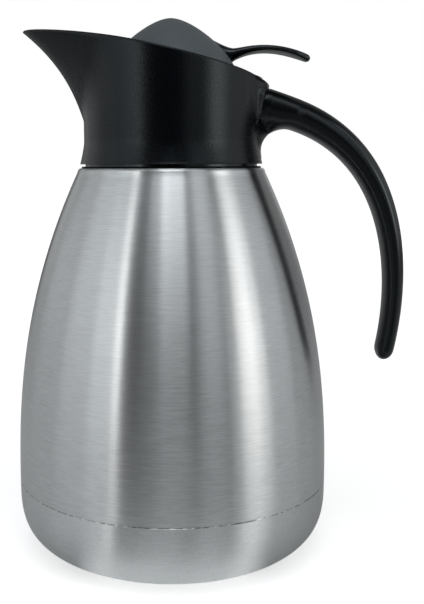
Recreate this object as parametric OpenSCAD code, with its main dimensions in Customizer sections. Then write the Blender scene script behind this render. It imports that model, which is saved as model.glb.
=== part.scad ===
// Thermal carafe with a flip lid: a double-walled steel vessel, a plastic pouring head with a
// drawn-out spout, an open-ended handle, and a domed lid that a thumb lever tips open.
// Millimetres, +Z up. The vessel stands on the origin, the spout points to -X, the handle to +X.

/* [Vessel] */
// Widest diameter of the steel body
body_d = 141.2; // [138:0.2:144]
// Height of the weld between the base cup and the shell
seam_z = 33.4; // [31:0.2:36]
// Height of the flat steel shoulder under the collar
shoulder_z = 173.2; // [169:0.2:178]
// Outer diameter of the steel neck
neck_d = 71.2; // [66:0.2:76]
// Width of the flat steel shoulder round the neck
shoulder_w = 4.4; // [4:0.1:5]
// Sheet thickness of both steel walls
sheet_t = 0.8; // [0.6:0.1:1]
// Width of the vacuum space between the walls
vacuum_gap = 4; // [3:0.5:5]
// Width of the steel rim round the standing pad
foot_w = 2.4; // [2:0.1:4]

/* [Pouring head] */
// Thickness of the head round the neck, with its thread
collar_t = 3; // [3:0.1:3.6]
// How far the skirt's bottom edge stands out from the head
skirt_out = 1.9; // [1.5:0.1:2.6]
// Wall thickness of the head
head_wall = 2.6; // [2.2:0.1:2.8]
// How far the spout's tip stands out from the head
spout_out = 27.2; // [22:0.2:31]
// Height of the rim over the axis, above the collar's bottom edge
rim_h = 46; // [45:0.2:49]
// Rise of the rim for each millimetre towards the spout
rim_slope = 0.232; // [0.2:0.004:0.25]
// How far the boss that carries the handle stands out from the head
boss_out = 4.6; // [4:0.1:6]

/* [Handle] */
// How far the handle stands out behind the boss
grip_out = 61.8; // [55:0.1:68]
// Height of the handle's open end above the ground
grip_end_z = 85.6; // [76:0.2:96]
// Width of the handle at its root
grip_w = 21; // [18:0.5:24]
// Thickness of the handle at its open end
grip_t = 7.9; // [7:0.1:9.5]

/* [Lid] */
// Gap between the dome's edge and the bowl's wall
dome_gap = 6.8; // [6.7:0.1:8]
// Height of the dome's top above the collar's bottom edge
dome_top_h = 62.8; // [61:0.1:66]
// Distance from the bowl's wall to the hinge pin
hinge_gap = 7; // [6.8:0.1:7.2]
// Height of the hinge pin above the collar's bottom edge
hinge_h = 34.1; // [33.8:0.1:34.4]
// Diameter of the hinge pin
pin_d = 3; // [2.6:0.1:3.2]
// How far the thumb lever stands out behind the dome
lever_out = 32; // [28:0.1:36]
// Width of the thumb lever's paddle
lever_w = 15; // [12:0.5:18]
// Thickness of the thumb lever at its crest
lever_t = 3.2; // [2.6:0.1:3.8]
// How much smaller the throat's radius is than the dome's
throat_in = 9.2; // [9:0.1:11]

/* [Hidden] */
$fn = 96;
eps = 0.02;
play = 0.3;

// Colours
steel = [0.72, 0.73, 0.74];
steel_dark = [0.55, 0.56, 0.58];
charcoal = [0.16, 0.17, 0.18];
satin_grey = [0.3, 0.31, 0.32];
gloss_black = [0.06, 0.06, 0.07];
seal_grey = [0.5, 0.5, 0.48];

// Heights that stack up from the ground
gasket_t = 0.7;
flange_t = 1;
collar_z = shoulder_z + gasket_t + flange_t;
lip_z = collar_z + 12.8;
seal_t = 2.8;
flange_z = lip_z + seal_t;
flange_h = 2.6;
floor_z = flange_z + flange_h + 3.9;
hinge_z = collar_z + hinge_h;
dome_top = collar_z + dome_top_h;

// Distances from the axis that follow from the neck
neck_r = neck_d / 2;
shoulder_r = neck_r + shoulder_w;
head_r = neck_r + collar_t;
skirt_r = head_r + skirt_out;
spout_l = head_r + spout_out;
boss_reach = head_r + boss_out;
grip_reach = boss_reach + grip_out;
bowl_r = head_r - head_wall;
hinge_x = bowl_r - hinge_gap;
dome_r = bowl_r - dome_gap;
throat_r = dome_r - throat_in;
lever_reach = dome_r + lever_out;

// Vessel, as curves of the outer wall
body_r = body_d / 2;
wall_gap = sheet_t + vacuum_gap;
belly_z = 30;
knee_z = shoulder_z - 1.8;
knee_r = shoulder_r + 1.75;
shell_power = 2.35;
shell_steps = 28;
corner_z = 30.5;
corner_in = 0.671 * body_r;
corner_across = 2 / 3.555;
corner_up = 2 / 2.979;
corner_end = 76;
corner_steps = 19;
weld_v = 0.25;
recess_h = 3;

// Radius of the outer wall above the widest height
function shell_r(z) =
    body_r - (body_r - knee_r) * pow(max(0, z - belly_z) / (knee_z - belly_z), shell_power);

// Angle by which the outer wall leans in at a height
function shell_lean(z) = atan(shell_r(z - 0.5) - shell_r(z + 0.5));

// Point of the wall moved inwards by a distance, square to the wall
function shell_at(z, inset) =
    [shell_r(z) - inset * cos(shell_lean(z)), z - inset * sin(shell_lean(z))];

function shell_line(low, high, inset) = [
    for (i = [0:shell_steps]) shell_at(low + (high - low) * i / shell_steps, inset)
];

// Quarter of a superellipse, from the widest height down to the flat foot
function corner_at(a, inset, drop) = [
    body_r - corner_in + (corner_in - inset) * pow(cos(a), corner_across),
    corner_z - (corner_z - drop) * pow(sin(a), corner_up)
];

function corner_line(inset, drop) = [
    for (i = [0:corner_steps]) corner_at(corner_end * i / corner_steps, inset, drop)
];

foot = corner_at(corner_end, 0, 0);
pad_r = foot[0] - foot_w;

function reversed(list) = [for (i = [len(list) - 1:-1:0]) list[i]];

// Smooth curve through the pull of any number of control points
function mix(a, b, t) = a + (b - a) * t;
function pulled(points, t) =
    len(points) == 1 ? points[0]
    : pulled([for (i = [0:len(points) - 2]) mix(points[i], points[i + 1], t)], t);
function pulled_line(points, steps) = [for (i = [0:steps]) pulled(points, i / steps)];

module ring(outer_r, inner_r, low, high) {
    rotate_extrude()
        translate([inner_r, low])
            square([outer_r - inner_r, high - low]);
}

module screw(shank_r, shank_l, head_r, head_h) {
    // The head stands on the plane z = 0 and the shank runs down from it
    socket_r = shank_r * 0.62;
    difference() {
        union() {
            cylinder(r = head_r, h = head_h);
            translate([0, 0, -shank_l])
                cylinder(r = shank_r, h = shank_l + eps);
        }
        translate([0, 0, head_h * 0.4])
            linear_extrude(head_h)
                polygon([for (i = [0:5]) [socket_r * cos(60 * i), socket_r * sin(60 * i)]]);
    }
}

module outer_shell() {
    outside = shell_line(seam_z + weld_v, knee_z, 0);
    inside = shell_line(seam_z, knee_z, sheet_t);
    bend_r = knee_r - shoulder_r;
    bend_h = shoulder_z - knee_z;
    bend = [
        for (a = [15:15:90])
            [knee_r - bend_r * (1 - cos(a)), knee_z + bend_h * sin(a)]
    ];
    neck_in = neck_r - sheet_t;
    color(steel)
        rotate_extrude()
            polygon(concat(
                [[body_r - weld_v, seam_z]],
                outside,
                bend,
                [[neck_r, shoulder_z], [neck_r, lip_z], [neck_in, lip_z]],
                [[neck_in, shoulder_z - sheet_t], [shoulder_r - sheet_t, shoulder_z - sheet_t]],
                reversed(inside)
            ));
}

module outer_base() {
    outside = corner_line(0, 0);
    inside = corner_line(sheet_t, sheet_t);
    color(steel)
        rotate_extrude()
            polygon(concat(
                [[body_r - sheet_t, seam_z], [body_r - weld_v, seam_z], [body_r, seam_z - weld_v]],
                outside,
                [[pad_r + play, foot[1]], [pad_r + play, foot[1] + recess_h]],
                [[plug_hole_r, foot[1] + recess_h], [plug_hole_r, foot[1] + recess_h + sheet_t]],
                [[pad_r + play + sheet_t, foot[1] + recess_h + sheet_t]],
                [[pad_r + play + sheet_t, inside[corner_steps][1]]],
                reversed(inside)
            ));
}

// The inner bottle
plug_hole_r = 2;
liner_low = seam_z + 4;
liner_knee = knee_z - 4;
liner_neck_r = neck_r - 2.4;
liner_top = shoulder_z - 1;
liner_floor = 9;
dish_power = 2 / 2.4;
dish_corner = 26;

function liner_line(inset) = shell_line(liner_low, liner_knee, wall_gap + inset);

module inner_liner() {
    outside = liner_line(0);
    inside = liner_line(sheet_t);
    bore_r = liner_neck_r - sheet_t;
    color(steel_dark)
        rotate_extrude()
            polygon(concat(
                outside,
                [[liner_neck_r, liner_top], [liner_neck_r, lip_z], [neck_r, lip_z]],
                [[neck_r, lip_z + sheet_t], [bore_r, lip_z + sheet_t], [bore_r, liner_top]],
                reversed(inside)
            ));
}

// Rounded bottom of the inner bottle, which starts on the lower edge of the liner
function dish_at(a, inset) =
    let (edge = shell_at(liner_low, wall_gap + inset))
    let (across = dish_corner - inset)
    [
        edge[0] - across + across * pow(cos(a), dish_power),
        edge[1] - (edge[1] - liner_floor - inset) * pow(sin(a), dish_power)
    ];

module liner_bottom() {
    outside = [for (a = [0:7.5:90]) dish_at(a, 0)];
    inside = [for (a = [90:-7.5:0]) dish_at(a, sheet_t)];
    color(steel_dark)
        rotate_extrude()
            polygon(concat(
                outside,
                [[0, liner_floor], [0, liner_floor + sheet_t]],
                inside
            ));
}

module vacuum_getter() {
    pill_r = 8;
    pill_h = 1.6;
    color(steel_dark)
        translate([0, 0, liner_floor - pill_h])
            cylinder(r = pill_r, h = pill_h);
}

module vacuum_plug() {
    cap_r = 5;
    cap_h = 1.2;
    color(steel_dark) {
        translate([0, 0, foot[1] + recess_h])
            cylinder(r = plug_hole_r, h = sheet_t + eps);
        translate([0, 0, foot[1] + recess_h + sheet_t])
            cylinder(r = cap_r, h = cap_h);
    }
}

module base_pad() {
    top = foot[1] + recess_h;
    edge = 0.4;
    color(charcoal)
        rotate_extrude()
            polygon([
                [0, 0], [pad_r - edge, 0], [pad_r, edge], [pad_r, top], [0, top]
            ]);
}

module neck_gasket() {
    color(gloss_black)
        ring(shoulder_r - 0.1, neck_r + 0.2, shoulder_z, shoulder_z + gasket_t);
}

// The ring that the head screws onto
sleeve_r = neck_r + 0.7;
thread_r = neck_r + 1.25;
thread_pitch = 3;

module neck_ring() {
    flange_r = head_r - 0.4;
    low = shoulder_z + gasket_t;
    color(gloss_black)
        union() {
            ring(flange_r, neck_r + 0.05, low, collar_z);
            ring(sleeve_r, neck_r + 0.05, low, lip_z - 1);
            for (z = [collar_z + 2.5:thread_pitch:lip_z - 2.5])
                rotate_extrude()
                    polygon([
                        [sleeve_r - eps, z - 0.9], [thread_r, z - 0.3],
                        [thread_r, z + 0.3], [sleeve_r - eps, z + 0.9]
                    ]);
        }
}

module mouth_seal() {
    color(seal_grey)
        ring(neck_r + 0.4, liner_neck_r - 1.6, lip_z + sheet_t, flange_z);
}

// Pouring head, as a closed skin of rows around the axis
skirt_h = 9.5;
skirt_power = 1.25;
spout_h = 18.6;
spout_slant = 0.5;
spout_power = 2.7;
tip_round = 6;
rim_dip = 0.0017;
rim_dip_x = -20;
boss_z = collar_z + 33.1;
boss_lean = 14.3;
boss_edge = 17;
boss_fade = 22;
boss_round = 0.3;
boss_curve_r = 36;
well_r = throat_r + 4;
bore_r = head_r - 1.5;
bore_top = flange_z + flange_h;
floor_round = 1.5;

function skirt_at(z) =
    head_r + (skirt_r - head_r) * pow(max(0, 1 - (z - collar_z) / skirt_h), skirt_power);

// The rim is cut by a bent plane that rises towards the spout
function rim_at(x) = collar_z + rim_h - rim_slope * x - rim_dip * pow(min(0, x - rim_dip_x), 2);

tip_z = rim_at(-spout_l);
spout_z = collar_z + spout_h;

function reach_at(z) =
    let (u = max(0, z - spout_z) / (tip_z - spout_z))
    skirt_at(z) + (spout_l - head_r) * mix(pow(u, spout_power), u, spout_slant);

// Tear-drop outline: a circle of radius r with two tangents that meet at the reach.
// The angle a is measured from the spout.
function drop_r(a, r, reach) =
    let (bend = acos(min(1, r / reach)) + tip_round)
    let (soft = sqrt(a * a + tip_round * tip_round))
    soft >= bend ? r : r / cos(bend - soft);

// Slightly curved face of the boss behind the head, faded into the round wall on both sides
function boss_x(z) =
    boss_reach + (min(z, boss_z) - boss_z) * tan(boss_lean) - boss_round * pow(max(0, z - boss_z), 2);
function fade(t) = t <= 0 ? 1 : t >= 1 ? 0 : 0.5 + 0.5 * cos(180 * t);
function boss_face(b, z) =
    let (side = boss_x(z) * tan(b))
    (boss_x(z) - side * side / (2 * boss_curve_r)) / cos(b);
function boss_r(b, z) =
    b <= boss_edge ? boss_face(b, z)
    : mix(head_r, boss_face(boss_edge, z), fade((b - boss_edge) / (boss_fade - boss_edge)));

function outer_r(a, z) =
    max(drop_r(a, skirt_at(z), reach_at(z)), boss_r(180 - abs(a), z));
function inner_r(a, z) =
    drop_r(a, bowl_r, reach_at(max(z, spout_z)) * bowl_r / head_r);

// Height of the rim in one direction, found by stepping towards the bent plane
function rim_z(a, z, steps) =
    steps == 0 ? z : rim_z(a, rim_at(-outer_r(a, z) * cos(a)), steps - 1);

// Directions of the columns: close together round the spout's tip and the boss's edges
spout_turns = [for (a = [0:5:40]) a];
side_turns = [for (a = [47:7:145]) a];
boss_turns = [152, 158, 159.7, 161.3, 163, 167, 171.5, 176, 180];
half_turns = concat(spout_turns, side_turns, boss_turns);
turns = concat(
    half_turns,
    [for (i = [len(half_turns) - 2:-1:1]) -half_turns[i]]
);

outer_rows = 15;
inner_rows = 9;
rim_soft = 0.9;
rim_bow = [[0.1, 0.75], [0.3, 0.15], [0.5, 0], [0.7, 0.15], [0.9, 0.75]];

// Radius and height of one column, from the skirt's bottom edge, over the rim, to the bore
function column(a) =
    let (top = rim_z(a, collar_z + rim_h, 14))
    let (brow = top - rim_soft)
    let (low = floor_z + floor_round)
    concat(
        [for (i = [0:outer_rows]) let (z = mix(collar_z, brow, i / outer_rows)) [outer_r(a, z), z]],
        [for (p = rim_bow) [mix(outer_r(a, brow), inner_r(a, brow), p[0]), top - rim_soft * p[1]]],
        [for (i = [0:inner_rows]) let (z = mix(brow, low, i / inner_rows)) [inner_r(a, z), z]],
        [[inner_r(a, low) - floor_round * 0.3, floor_z + floor_round * 0.3]],
        [[inner_r(a, low) - floor_round, floor_z]],
        [[well_r, floor_z], [well_r, bore_top], [bore_r, bore_top], [bore_r, collar_z]]
    );

function placed(a, p) = [-p[0] * cos(a), p[0] * sin(a), p[1]];

// Triangles between closed rings of points; the last ring joins the first when looped
function band(i, k, m) = [
    for (j = [0:m - 1])
        for (half = [0, 1])
            half == 0
            ? [i * m + j, i * m + (j + 1) % m, k * m + j]
            : [k * m + j, i * m + (j + 1) % m, k * m + (j + 1) % m]
];
function ring_of(i, m, flip) = [for (j = [0:m - 1]) i * m + (flip ? m - 1 - j : j)];

module looped_skin(rings) {
    n = len(rings);
    m = len(rings[0]);
    polyhedron(
        points = [for (r = rings) each r],
        faces = [for (i = [0:n - 1]) each band(i, (i + 1) % n, m)],
        convexity = 6
    );
}

module capped_skin(rings) {
    n = len(rings);
    m = len(rings[0]);
    polyhedron(
        points = [for (r = rings) each r],
        faces = concat(
            [for (i = [0:n - 2]) each band(i, i + 1, m)],
            [ring_of(0, m, true), ring_of(n - 1, m, false)]
        ),
        convexity = 6
    );
}

// Screws that hold the handle
grip_screw_z = collar_z + 26.6;
grip_screw_y = 5;
grip_screw_r = 2;
grip_head_r = 3.6;
grip_head_h = 2.2;
grip_screw_l = 14;
grip_seat_x = bowl_r + 0.2;

module grip_screw_places() {
    for (side = [-1, 1])
        translate([grip_seat_x, side * grip_screw_y, grip_screw_z])
            rotate([0, -90, 0])
                children();
}

module pouring_head() {
    columns = [for (a = turns) column(a)];
    rows = len(columns[0]);
    rings = [
        for (i = [0:rows - 1])
            [for (k = [0:len(turns) - 1]) placed(turns[k], columns[k][i])]
    ];
    color(charcoal)
        difference() {
            looped_skin(rings);
            grip_screw_places()
                cylinder(r = grip_head_r + 0.1, h = 2 * head_wall);
            grip_screw_places()
                translate([0, 0, -2 * grip_screw_l])
                    cylinder(r = grip_screw_r, h = 3 * grip_screw_l);
            bracket_screw_places()
                translate([0, 0, -bracket_screw_l])
                    cylinder(r = bracket_screw_r, h = 2 * bracket_screw_l);
        }
}

// Throat insert: tube with a conical seat on top and a clamping flange
tube_t = 2.5;
tube_drop = 5;
tube_low = shoulder_z - tube_drop;
seat_low = floor_z - 2.5;
seat_h = 3.2;

module throat_insert() {
    outer = well_r - 0.1;
    seat_top = seat_low + seat_h;
    color(charcoal)
        rotate_extrude()
            polygon([
                [throat_r, tube_low], [throat_r + tube_t, tube_low], [throat_r + tube_t, flange_z],
                [bore_r - 0.9, flange_z], [bore_r - 0.9, bore_top], [outer, bore_top],
                [outer, seat_top + 0.3], [throat_r + seat_h, seat_top + 0.3],
                [throat_r + seat_h, seat_top], [throat_r, seat_low]
            ]);
}

// Hinge bracket with two ears
knuckle_r = 3.2;
ear_in = 8.5;
ear_t = 2.3;
plate_t = 2;
pin_r = pin_d / 2;
pin_fit = 0.06;
bracket_screw_r = 1.2;
bracket_screw_l = 4.6;
bracket_screw_y = 5;
leg_hole_r = 0.6;

module bracket_screw_places() {
    for (side = [-1, 1])
        translate([hinge_x - 0.6, side * bracket_screw_y, floor_z + plate_t])
            children();
}

module along_pin(from, to) {
    translate([hinge_x, from, hinge_z])
        rotate([-90, 0, 0])
            linear_extrude(to - from)
                children();
}

module hinge_bracket() {
    half = ear_in + ear_t;
    color(steel_dark)
        difference() {
            union() {
                translate([hinge_x - knuckle_r, -half, floor_z])
                    cube([2 * knuckle_r, 2 * half, plate_t]);
                for (side = [-1, 1])
                    translate([0, side * (ear_in + ear_t / 2) - ear_t / 2, 0]) {
                        translate([hinge_x - knuckle_r, 0, floor_z])
                            cube([2 * knuckle_r, ear_t, hinge_z - floor_z]);
                        along_pin(0, ear_t)
                            circle(r = knuckle_r);
                    }
            }
            along_pin(-half - 1, half + 1)
                circle(r = pin_r);
            bracket_screw_places()
                translate([0, 0, -2 * plate_t])
                    cylinder(r = bracket_screw_r, h = 3 * plate_t);
            translate([hinge_x + coil_r, leg_y, floor_z - eps])
                cylinder(r = leg_hole_r, h = 2 * plate_t);
        }
}

module bracket_screws() {
    color(steel)
        bracket_screw_places()
            screw(bracket_screw_r, bracket_screw_l, 2.1, 1.3);
}

module hinge_pin() {
    reach = ear_in + ear_t + 0.4;
    color(steel)
        along_pin(-reach, reach)
            circle(r = pin_r);
}

// Return spring: one unbroken tube that coils round the pin between two straight legs
wire_r = 0.35;
coil_r = pin_r + 0.95;
coil_turns = 4.25;
leg_y = 7.4;
coil_end_y = 1.6;
coil_sides = 6;
coil_rings = 8;
arm_leg_l = 7.5;

function coil_at(i) =
    let (turn = 360 * i / coil_rings)
    let (share = i / (coil_turns * coil_rings))
    [hinge_x + coil_r * cos(turn), mix(leg_y, coil_end_y, share), hinge_z + coil_r * sin(turn)];

// Wire section at a point of the path, in the plane of the pin's axis and a second direction
function wire_ring(p, across) = [
    for (k = [0:coil_sides - 1])
        p + wire_r * (cos(60 * k) * across + sin(60 * k) * [0, 1, 0])
];

module return_spring() {
    last = coil_turns * coil_rings;
    down_leg = hinge_z - floor_z - 0.6;
    rings = concat(
        [wire_ring([hinge_x + coil_r, leg_y, hinge_z - down_leg], [1, 0, 0])],
        [
            for (i = [0:last])
                wire_ring(coil_at(i), [cos(360 * i / coil_rings), 0, sin(360 * i / coil_rings)])
        ],
        [wire_ring([hinge_x - arm_leg_l, coil_end_y, hinge_z + coil_r], [0, 0, 1])]
    );
    color(steel)
        capped_skin(rings);
}

coil_pitch = (leg_y - coil_end_y) / coil_turns;
echo(str("least gap between the return spring's curls: ", coil_pitch - 2 * wire_r, " mm"));

// Handle: oval sections along a centre curve, with a thickness that eases towards the open end
grip_root_z = collar_z + 24.7;
grip_mid = [
    [boss_reach - 0.6, grip_root_z],
    [grip_reach - 12.3, grip_root_z - 10.1],
    [grip_reach - 4.3, mix(grip_root_z, grip_end_z, 0.417)],
    [grip_reach + 0.2, mix(grip_root_z, grip_end_z, 0.686)],
    [grip_reach - 8.3, grip_end_z]
];
grip_root_t = 3.3;
grip_ease = 1.6;
grip_from = 0.07;
grip_steps = 26;
grip_sides = 20;
oval_power = 2 / 2.2;
grip_end_w = 16;
flare_w = 1;
flare_steps = 9;
flare_end = 0.93;
keel_w = 0.35;
keel_blend = 6;
root_play = 0.03;
end_steps = 4;
end_share = 0.04;

function signed_power(v, p) = sign(v) * pow(abs(v), p);

// Closed oval section between two points of the middle plane
function oval(top, bottom, half_w, scale, sides) = [
    for (k = [0:sides - 1])
        let (a = 360 * k / sides)
        let (mid = (top + bottom) / 2)
        let (p = mid + (top - mid) * signed_power(cos(a), oval_power) * scale)
        [p[0], half_w * signed_power(sin(a), oval_power) * scale, p[1]]
];

function grip_along(t) =
    let (d = pulled(grip_mid, min(1, t + 0.01)) - pulled(grip_mid, t - 0.01))
    d / norm(d);
function grip_half(t) = grip_t / 2 + grip_root_t * pow(1 - t, grip_ease);
function grip_edge(t, side) =
    pulled(grip_mid, t) + side * grip_half(t) * [-grip_along(t)[1], grip_along(t)[0]];
function grip_oval(t, scale) =
    oval(grip_edge(t, 1), grip_edge(t, -1), mix(grip_w, grip_end_w, t) / 2, scale, grip_sides);

// Root of the handle: the top runs into the boss, the underside flares down the head's wall
root_top = [
    [boss_reach + 0.5, grip_root_z + 7.9],
    [boss_reach + 8.3, grip_root_z + 5.4],
    grip_edge(grip_from, 1)
];
flare_line = [
    [boss_reach - 3, grip_root_z - 22], [boss_reach - 5.2, grip_root_z - 11.4],
    [boss_reach + 5, grip_root_z - 8.4], grip_edge(grip_from, -1)
];
root_h = norm(grip_edge(grip_from, 1) - grip_edge(grip_from, -1));
keel_from = 0.75 * root_h;
keel_run = 0.7 * root_h;

// Section of the root: an oval whose lower part narrows to a keel where it is tall
function keel_at(down, tall) =
    min(1, max(0, tall - root_h) / keel_blend) * (1 - fade((down - keel_from) / keel_run));
function root_oval(top, bottom, half_w) = [
    for (p = oval(top, bottom, half_w, 1, grip_sides))
        let (share = keel_at(norm([p[0], p[2]] - top), norm(top - bottom)))
        [p[0], p[1] * mix(1, keel_w, share), p[2]]
];

module handle_skin() {
    root_w = grip_w / 2;
    inside = head_r - 3;
    rings = concat(
        [
            root_oval([inside, root_top[0][1] + 0.6], [inside, flare_line[0][1] - 1],
                root_w + flare_w)
        ],
        [
            for (i = [0:flare_steps])
                let (u = flare_end * i / flare_steps)
                root_oval(pulled(root_top, u), pulled(flare_line, u),
                    root_w + flare_w * pow(1 - u, 2))
        ],
        [for (i = [0:grip_steps]) grip_oval(mix(grip_from, 1 - end_share, i / grip_steps), 1)],
        [
            for (i = [1:end_steps])
                let (a = 82 * i / end_steps)
                grip_oval(1 - end_share + end_share * sin(a), cos(a))
        ]
    );
    capped_skin(rings);
}

// Room that the head takes behind the handle's root
module head_room() {
    steps = 10;
    low = collar_z + 1;
    high = collar_z + 40;
    rotate_extrude()
        polygon(concat(
            [[0, low], [skirt_at(low) + root_play, low]],
            [
                for (i = [1:steps])
                    let (z = mix(low, collar_z + skirt_h, i / steps))
                    [skirt_at(z) + root_play, z]
            ],
            [[head_r + root_play, high], [0, high]]
        ));
    translate([boss_reach + eps, 0, boss_z])
        rotate([0, boss_lean, 0])
            translate([-boss_curve_r, 0, -boss_curve_r])
                cylinder(r = boss_curve_r, h = 1.6 * boss_curve_r, $fn = 360);
}

module handle() {
    color(gloss_black)
        difference() {
            handle_skin();
            head_room();
            grip_screw_places()
                translate([0, 0, -grip_screw_l])
                    cylinder(r = grip_screw_r, h = grip_screw_l + 1);
        }
}

module handle_screws() {
    color(steel)
        grip_screw_places()
            screw(grip_screw_r, grip_screw_l, grip_head_r, grip_head_h);
}

// Dome
dome_t = 2;
dome_power = 1.64;
dome_brim = 0.15;
brim_power = 12;
dome_steps = 20;
dome_low = hinge_z + 4;
dome_edge_h = 0.9;
dome_h = dome_top - dome_low - dome_edge_h;
post_r = 3;

function dome_line(inset) = [
    for (i = [0:dome_steps])
        let (u = i / dome_steps)
        let (fall = mix(pow(u, dome_power), pow(u, brim_power), dome_brim))
        [(dome_r - inset) * u, dome_top - inset - (dome_h - inset) * fall]
];

module dome_solid(inset) {
    rotate_extrude()
        polygon(concat(dome_line(inset), [[dome_r - inset, dome_low], [0, dome_low]]));
}

module lid_dome() {
    outside = dome_line(0);
    inside = dome_line(dome_t);
    color(satin_grey)
        difference() {
            union() {
                rotate_extrude()
                    polygon(concat(
                        outside,
                        [[dome_r, dome_low], [dome_r - dome_t, dome_low]],
                        reversed(inside)
                    ));
                intersection() {
                    carrier_screw_places()
                        translate([0, 0, -dome_h])
                            cylinder(r = post_r, h = dome_h - disc_t);
                    dome_solid(dome_t / 2);
                }
            }
            carrier_screw_places()
                translate([0, 0, -carrier_screw_l])
                    cylinder(r = carrier_screw_r, h = carrier_screw_l + 1);
            lever_screw_places()
                cylinder(r = lever_head_r + 0.1, h = dome_r / 2);
            lever_screw_places()
                translate([0, 0, -lever_screw_l])
                    cylinder(r = lever_screw_r, h = 2 * lever_screw_l);
        }
}

// Thumb lever: oval sections between a crest and an underside, rooted in the dome
lever_level = 0.55;
lever_drop = lever_level * dome_h;
lever_h = dome_top - lever_drop;
lever_pull = 1.9 - lever_t / 2;
lever_root = [
    [dome_r - 11.7, lever_h + 4.2], [dome_r - 5.4, lever_h + 1 - lever_pull],
    [dome_r - 2.4, lever_h + 0.5 - lever_pull]
];
lever_crest = [
    [dome_r - 2.4, lever_h + 0.5 - lever_pull], [dome_r + 1.3, lever_h + 0.1 - lever_pull],
    [lever_reach - 20.1, lever_h + 5 - lever_pull], [lever_reach - 1.6, lever_h - 2 - lever_pull]
];
lever_under = [
    [lever_reach - 2.6, lever_h - 5.8 + lever_pull], [lever_reach - 20.4, lever_h + 1.3 + lever_pull],
    [dome_r - 1, lever_h - 5.1 + lever_pull]
];
lever_seed = [dome_r - 7, dome_low + 2.6];
lever_nose = 2;
lever_root_w = 12.6;
lever_root_steps = 5;
lever_steps = 16;
lever_sides = 16;
lever_screw_r = 1.1;
lever_screw_l = 9;
lever_head_r = 2;
lever_screw_y = 2.8;
lever_screw_z = lever_h - 2.4;
lever_screw_seat = 0.705 * dome_r;

// Half width along the lever, from the root (0) to the rounded end of the paddle (1)
function lever_half(u) = mix(lever_root_w, lever_w, u) / 2 * pow(1 - pow(u, 9) * 0.8, 0.5);

module lever_skin() {
    mouth = [lever_crest[3], lever_under[0]];
    along = (lever_crest[3] - lever_crest[2]) / norm(lever_crest[3] - lever_crest[2]);
    rings = concat(
        [
            for (i = [0:lever_root_steps - 1])
                let (u = i / lever_root_steps)
                oval(pulled(lever_root, u), mix(lever_seed, lever_under[2], u),
                    lever_root_w / 2, 1, lever_sides)
        ],
        [
            for (i = [0:lever_steps])
                let (u = i / lever_steps)
                oval(pulled(lever_crest, u), pulled(lever_under, 1 - u), lever_half(u), 1, lever_sides)
        ],
        [
            for (a = [25:25:75])
                let (shift = along * lever_nose * sin(a))
                oval(mouth[0] + shift, mouth[1] + shift, lever_half(1), cos(a), lever_sides)
        ]
    );
    capped_skin(rings);
}

module lever_screw_places() {
    for (side = [-1, 1])
        translate([lever_screw_seat, side * lever_screw_y, lever_screw_z])
            rotate([0, -90, 0])
                children();
}

module thumb_lever() {
    color(gloss_black)
        difference() {
            lever_skin();
            dome_solid(-eps);
            lever_screw_places()
                translate([0, 0, -lever_screw_l])
                    cylinder(r = lever_screw_r, h = lever_screw_l + 1);
        }
}

module lever_screws() {
    color(steel)
        lever_screw_places()
            screw(lever_screw_r, lever_screw_l, lever_head_r, 1.2);
}

// Lid carrier, which joins the dome, the stopper and the hinge
disc_r = dome_r - dome_t - 0.8;
disc_low = hinge_z + 1.5;
disc_t = 2.5;
stem_r = 8;
stopper_top = floor_z + 5;
arm_w = 9.2;
arm_y = -8.2;
groove_w = 1.3;

module carrier_screw_places() {
    for (a = [60, 180, 300])
        rotate([0, 0, a])
            translate([disc_r - carrier_screw_in, 0, disc_low])
                rotate([180, 0, 0])
                    children();
}

module lid_carrier() {
    color(charcoal)
        difference() {
            union() {
                translate([0, 0, disc_low])
                    cylinder(r = disc_r, h = disc_t);
                translate([0, 0, stopper_top])
                    cylinder(r = stem_r, h = disc_low - stopper_top + eps);
                translate([hinge_x - 10, arm_y, hinge_z - 1])
                    cube([10, arm_w, disc_low - hinge_z + 1 + eps]);
                along_pin(arm_y, arm_y + arm_w)
                    circle(r = knuckle_r);
            }
            along_pin(arm_y - 1, arm_y + arm_w + 1)
                circle(r = pin_r + pin_fit);
            translate([hinge_x - arm_leg_l - 1, coil_end_y - groove_w / 2, hinge_z + coil_r - wire_r - 0.1])
                cube([arm_leg_l + 2, groove_w, disc_t + 2]);
            carrier_screw_places()
                translate([0, 0, -disc_t - 1])
                    cylinder(r = carrier_screw_r, h = disc_t + 2);
            cylinder(r = stem_screw_r, h = 2 * dome_top, center = true);
        }
}

carrier_screw_r = 1.2;
carrier_screw_l = 7;
carrier_screw_in = 7;
stem_screw_r = 2.5;

module carrier_screws() {
    color(steel)
        carrier_screw_places()
            screw(carrier_screw_r, carrier_screw_l, 2.2, 1.3);
}

// Stopper
stopper_r = throat_r + 2.5;
gasket_top = seat_low + 4.7;
plug_r = throat_r - 3;

module lid_stopper() {
    color(satin_grey)
        union() {
            rotate_extrude()
                polygon([
                    [0, seat_low - 5.5], [plug_r - 3, seat_low - 5.5], [plug_r - 1.5, seat_low - 4.5],
                    [plug_r, seat_low], [plug_r, gasket_top], [stopper_r, gasket_top],
                    [stopper_r, stopper_top - 1], [stopper_r - 1, stopper_top], [0, stopper_top]
                ]);
            translate([0, 0, stopper_top - eps])
                cylinder(r = stem_screw_r, h = disc_low + disc_t - 0.5 - stopper_top);
        }
}

module lid_gasket() {
    slack = play * sqrt(2);
    cone_low = 0.5;
    cone_high = 3.4;
    wide = throat_r + cone_high - slack;
    color(seal_grey)
        rotate_extrude()
            polygon([
                [plug_r, seat_low + cone_low], [throat_r + cone_low - slack, seat_low + cone_low],
                [wide, seat_low + cone_high], [wide, gasket_top], [plug_r, gasket_top]
            ]);
}

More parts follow.
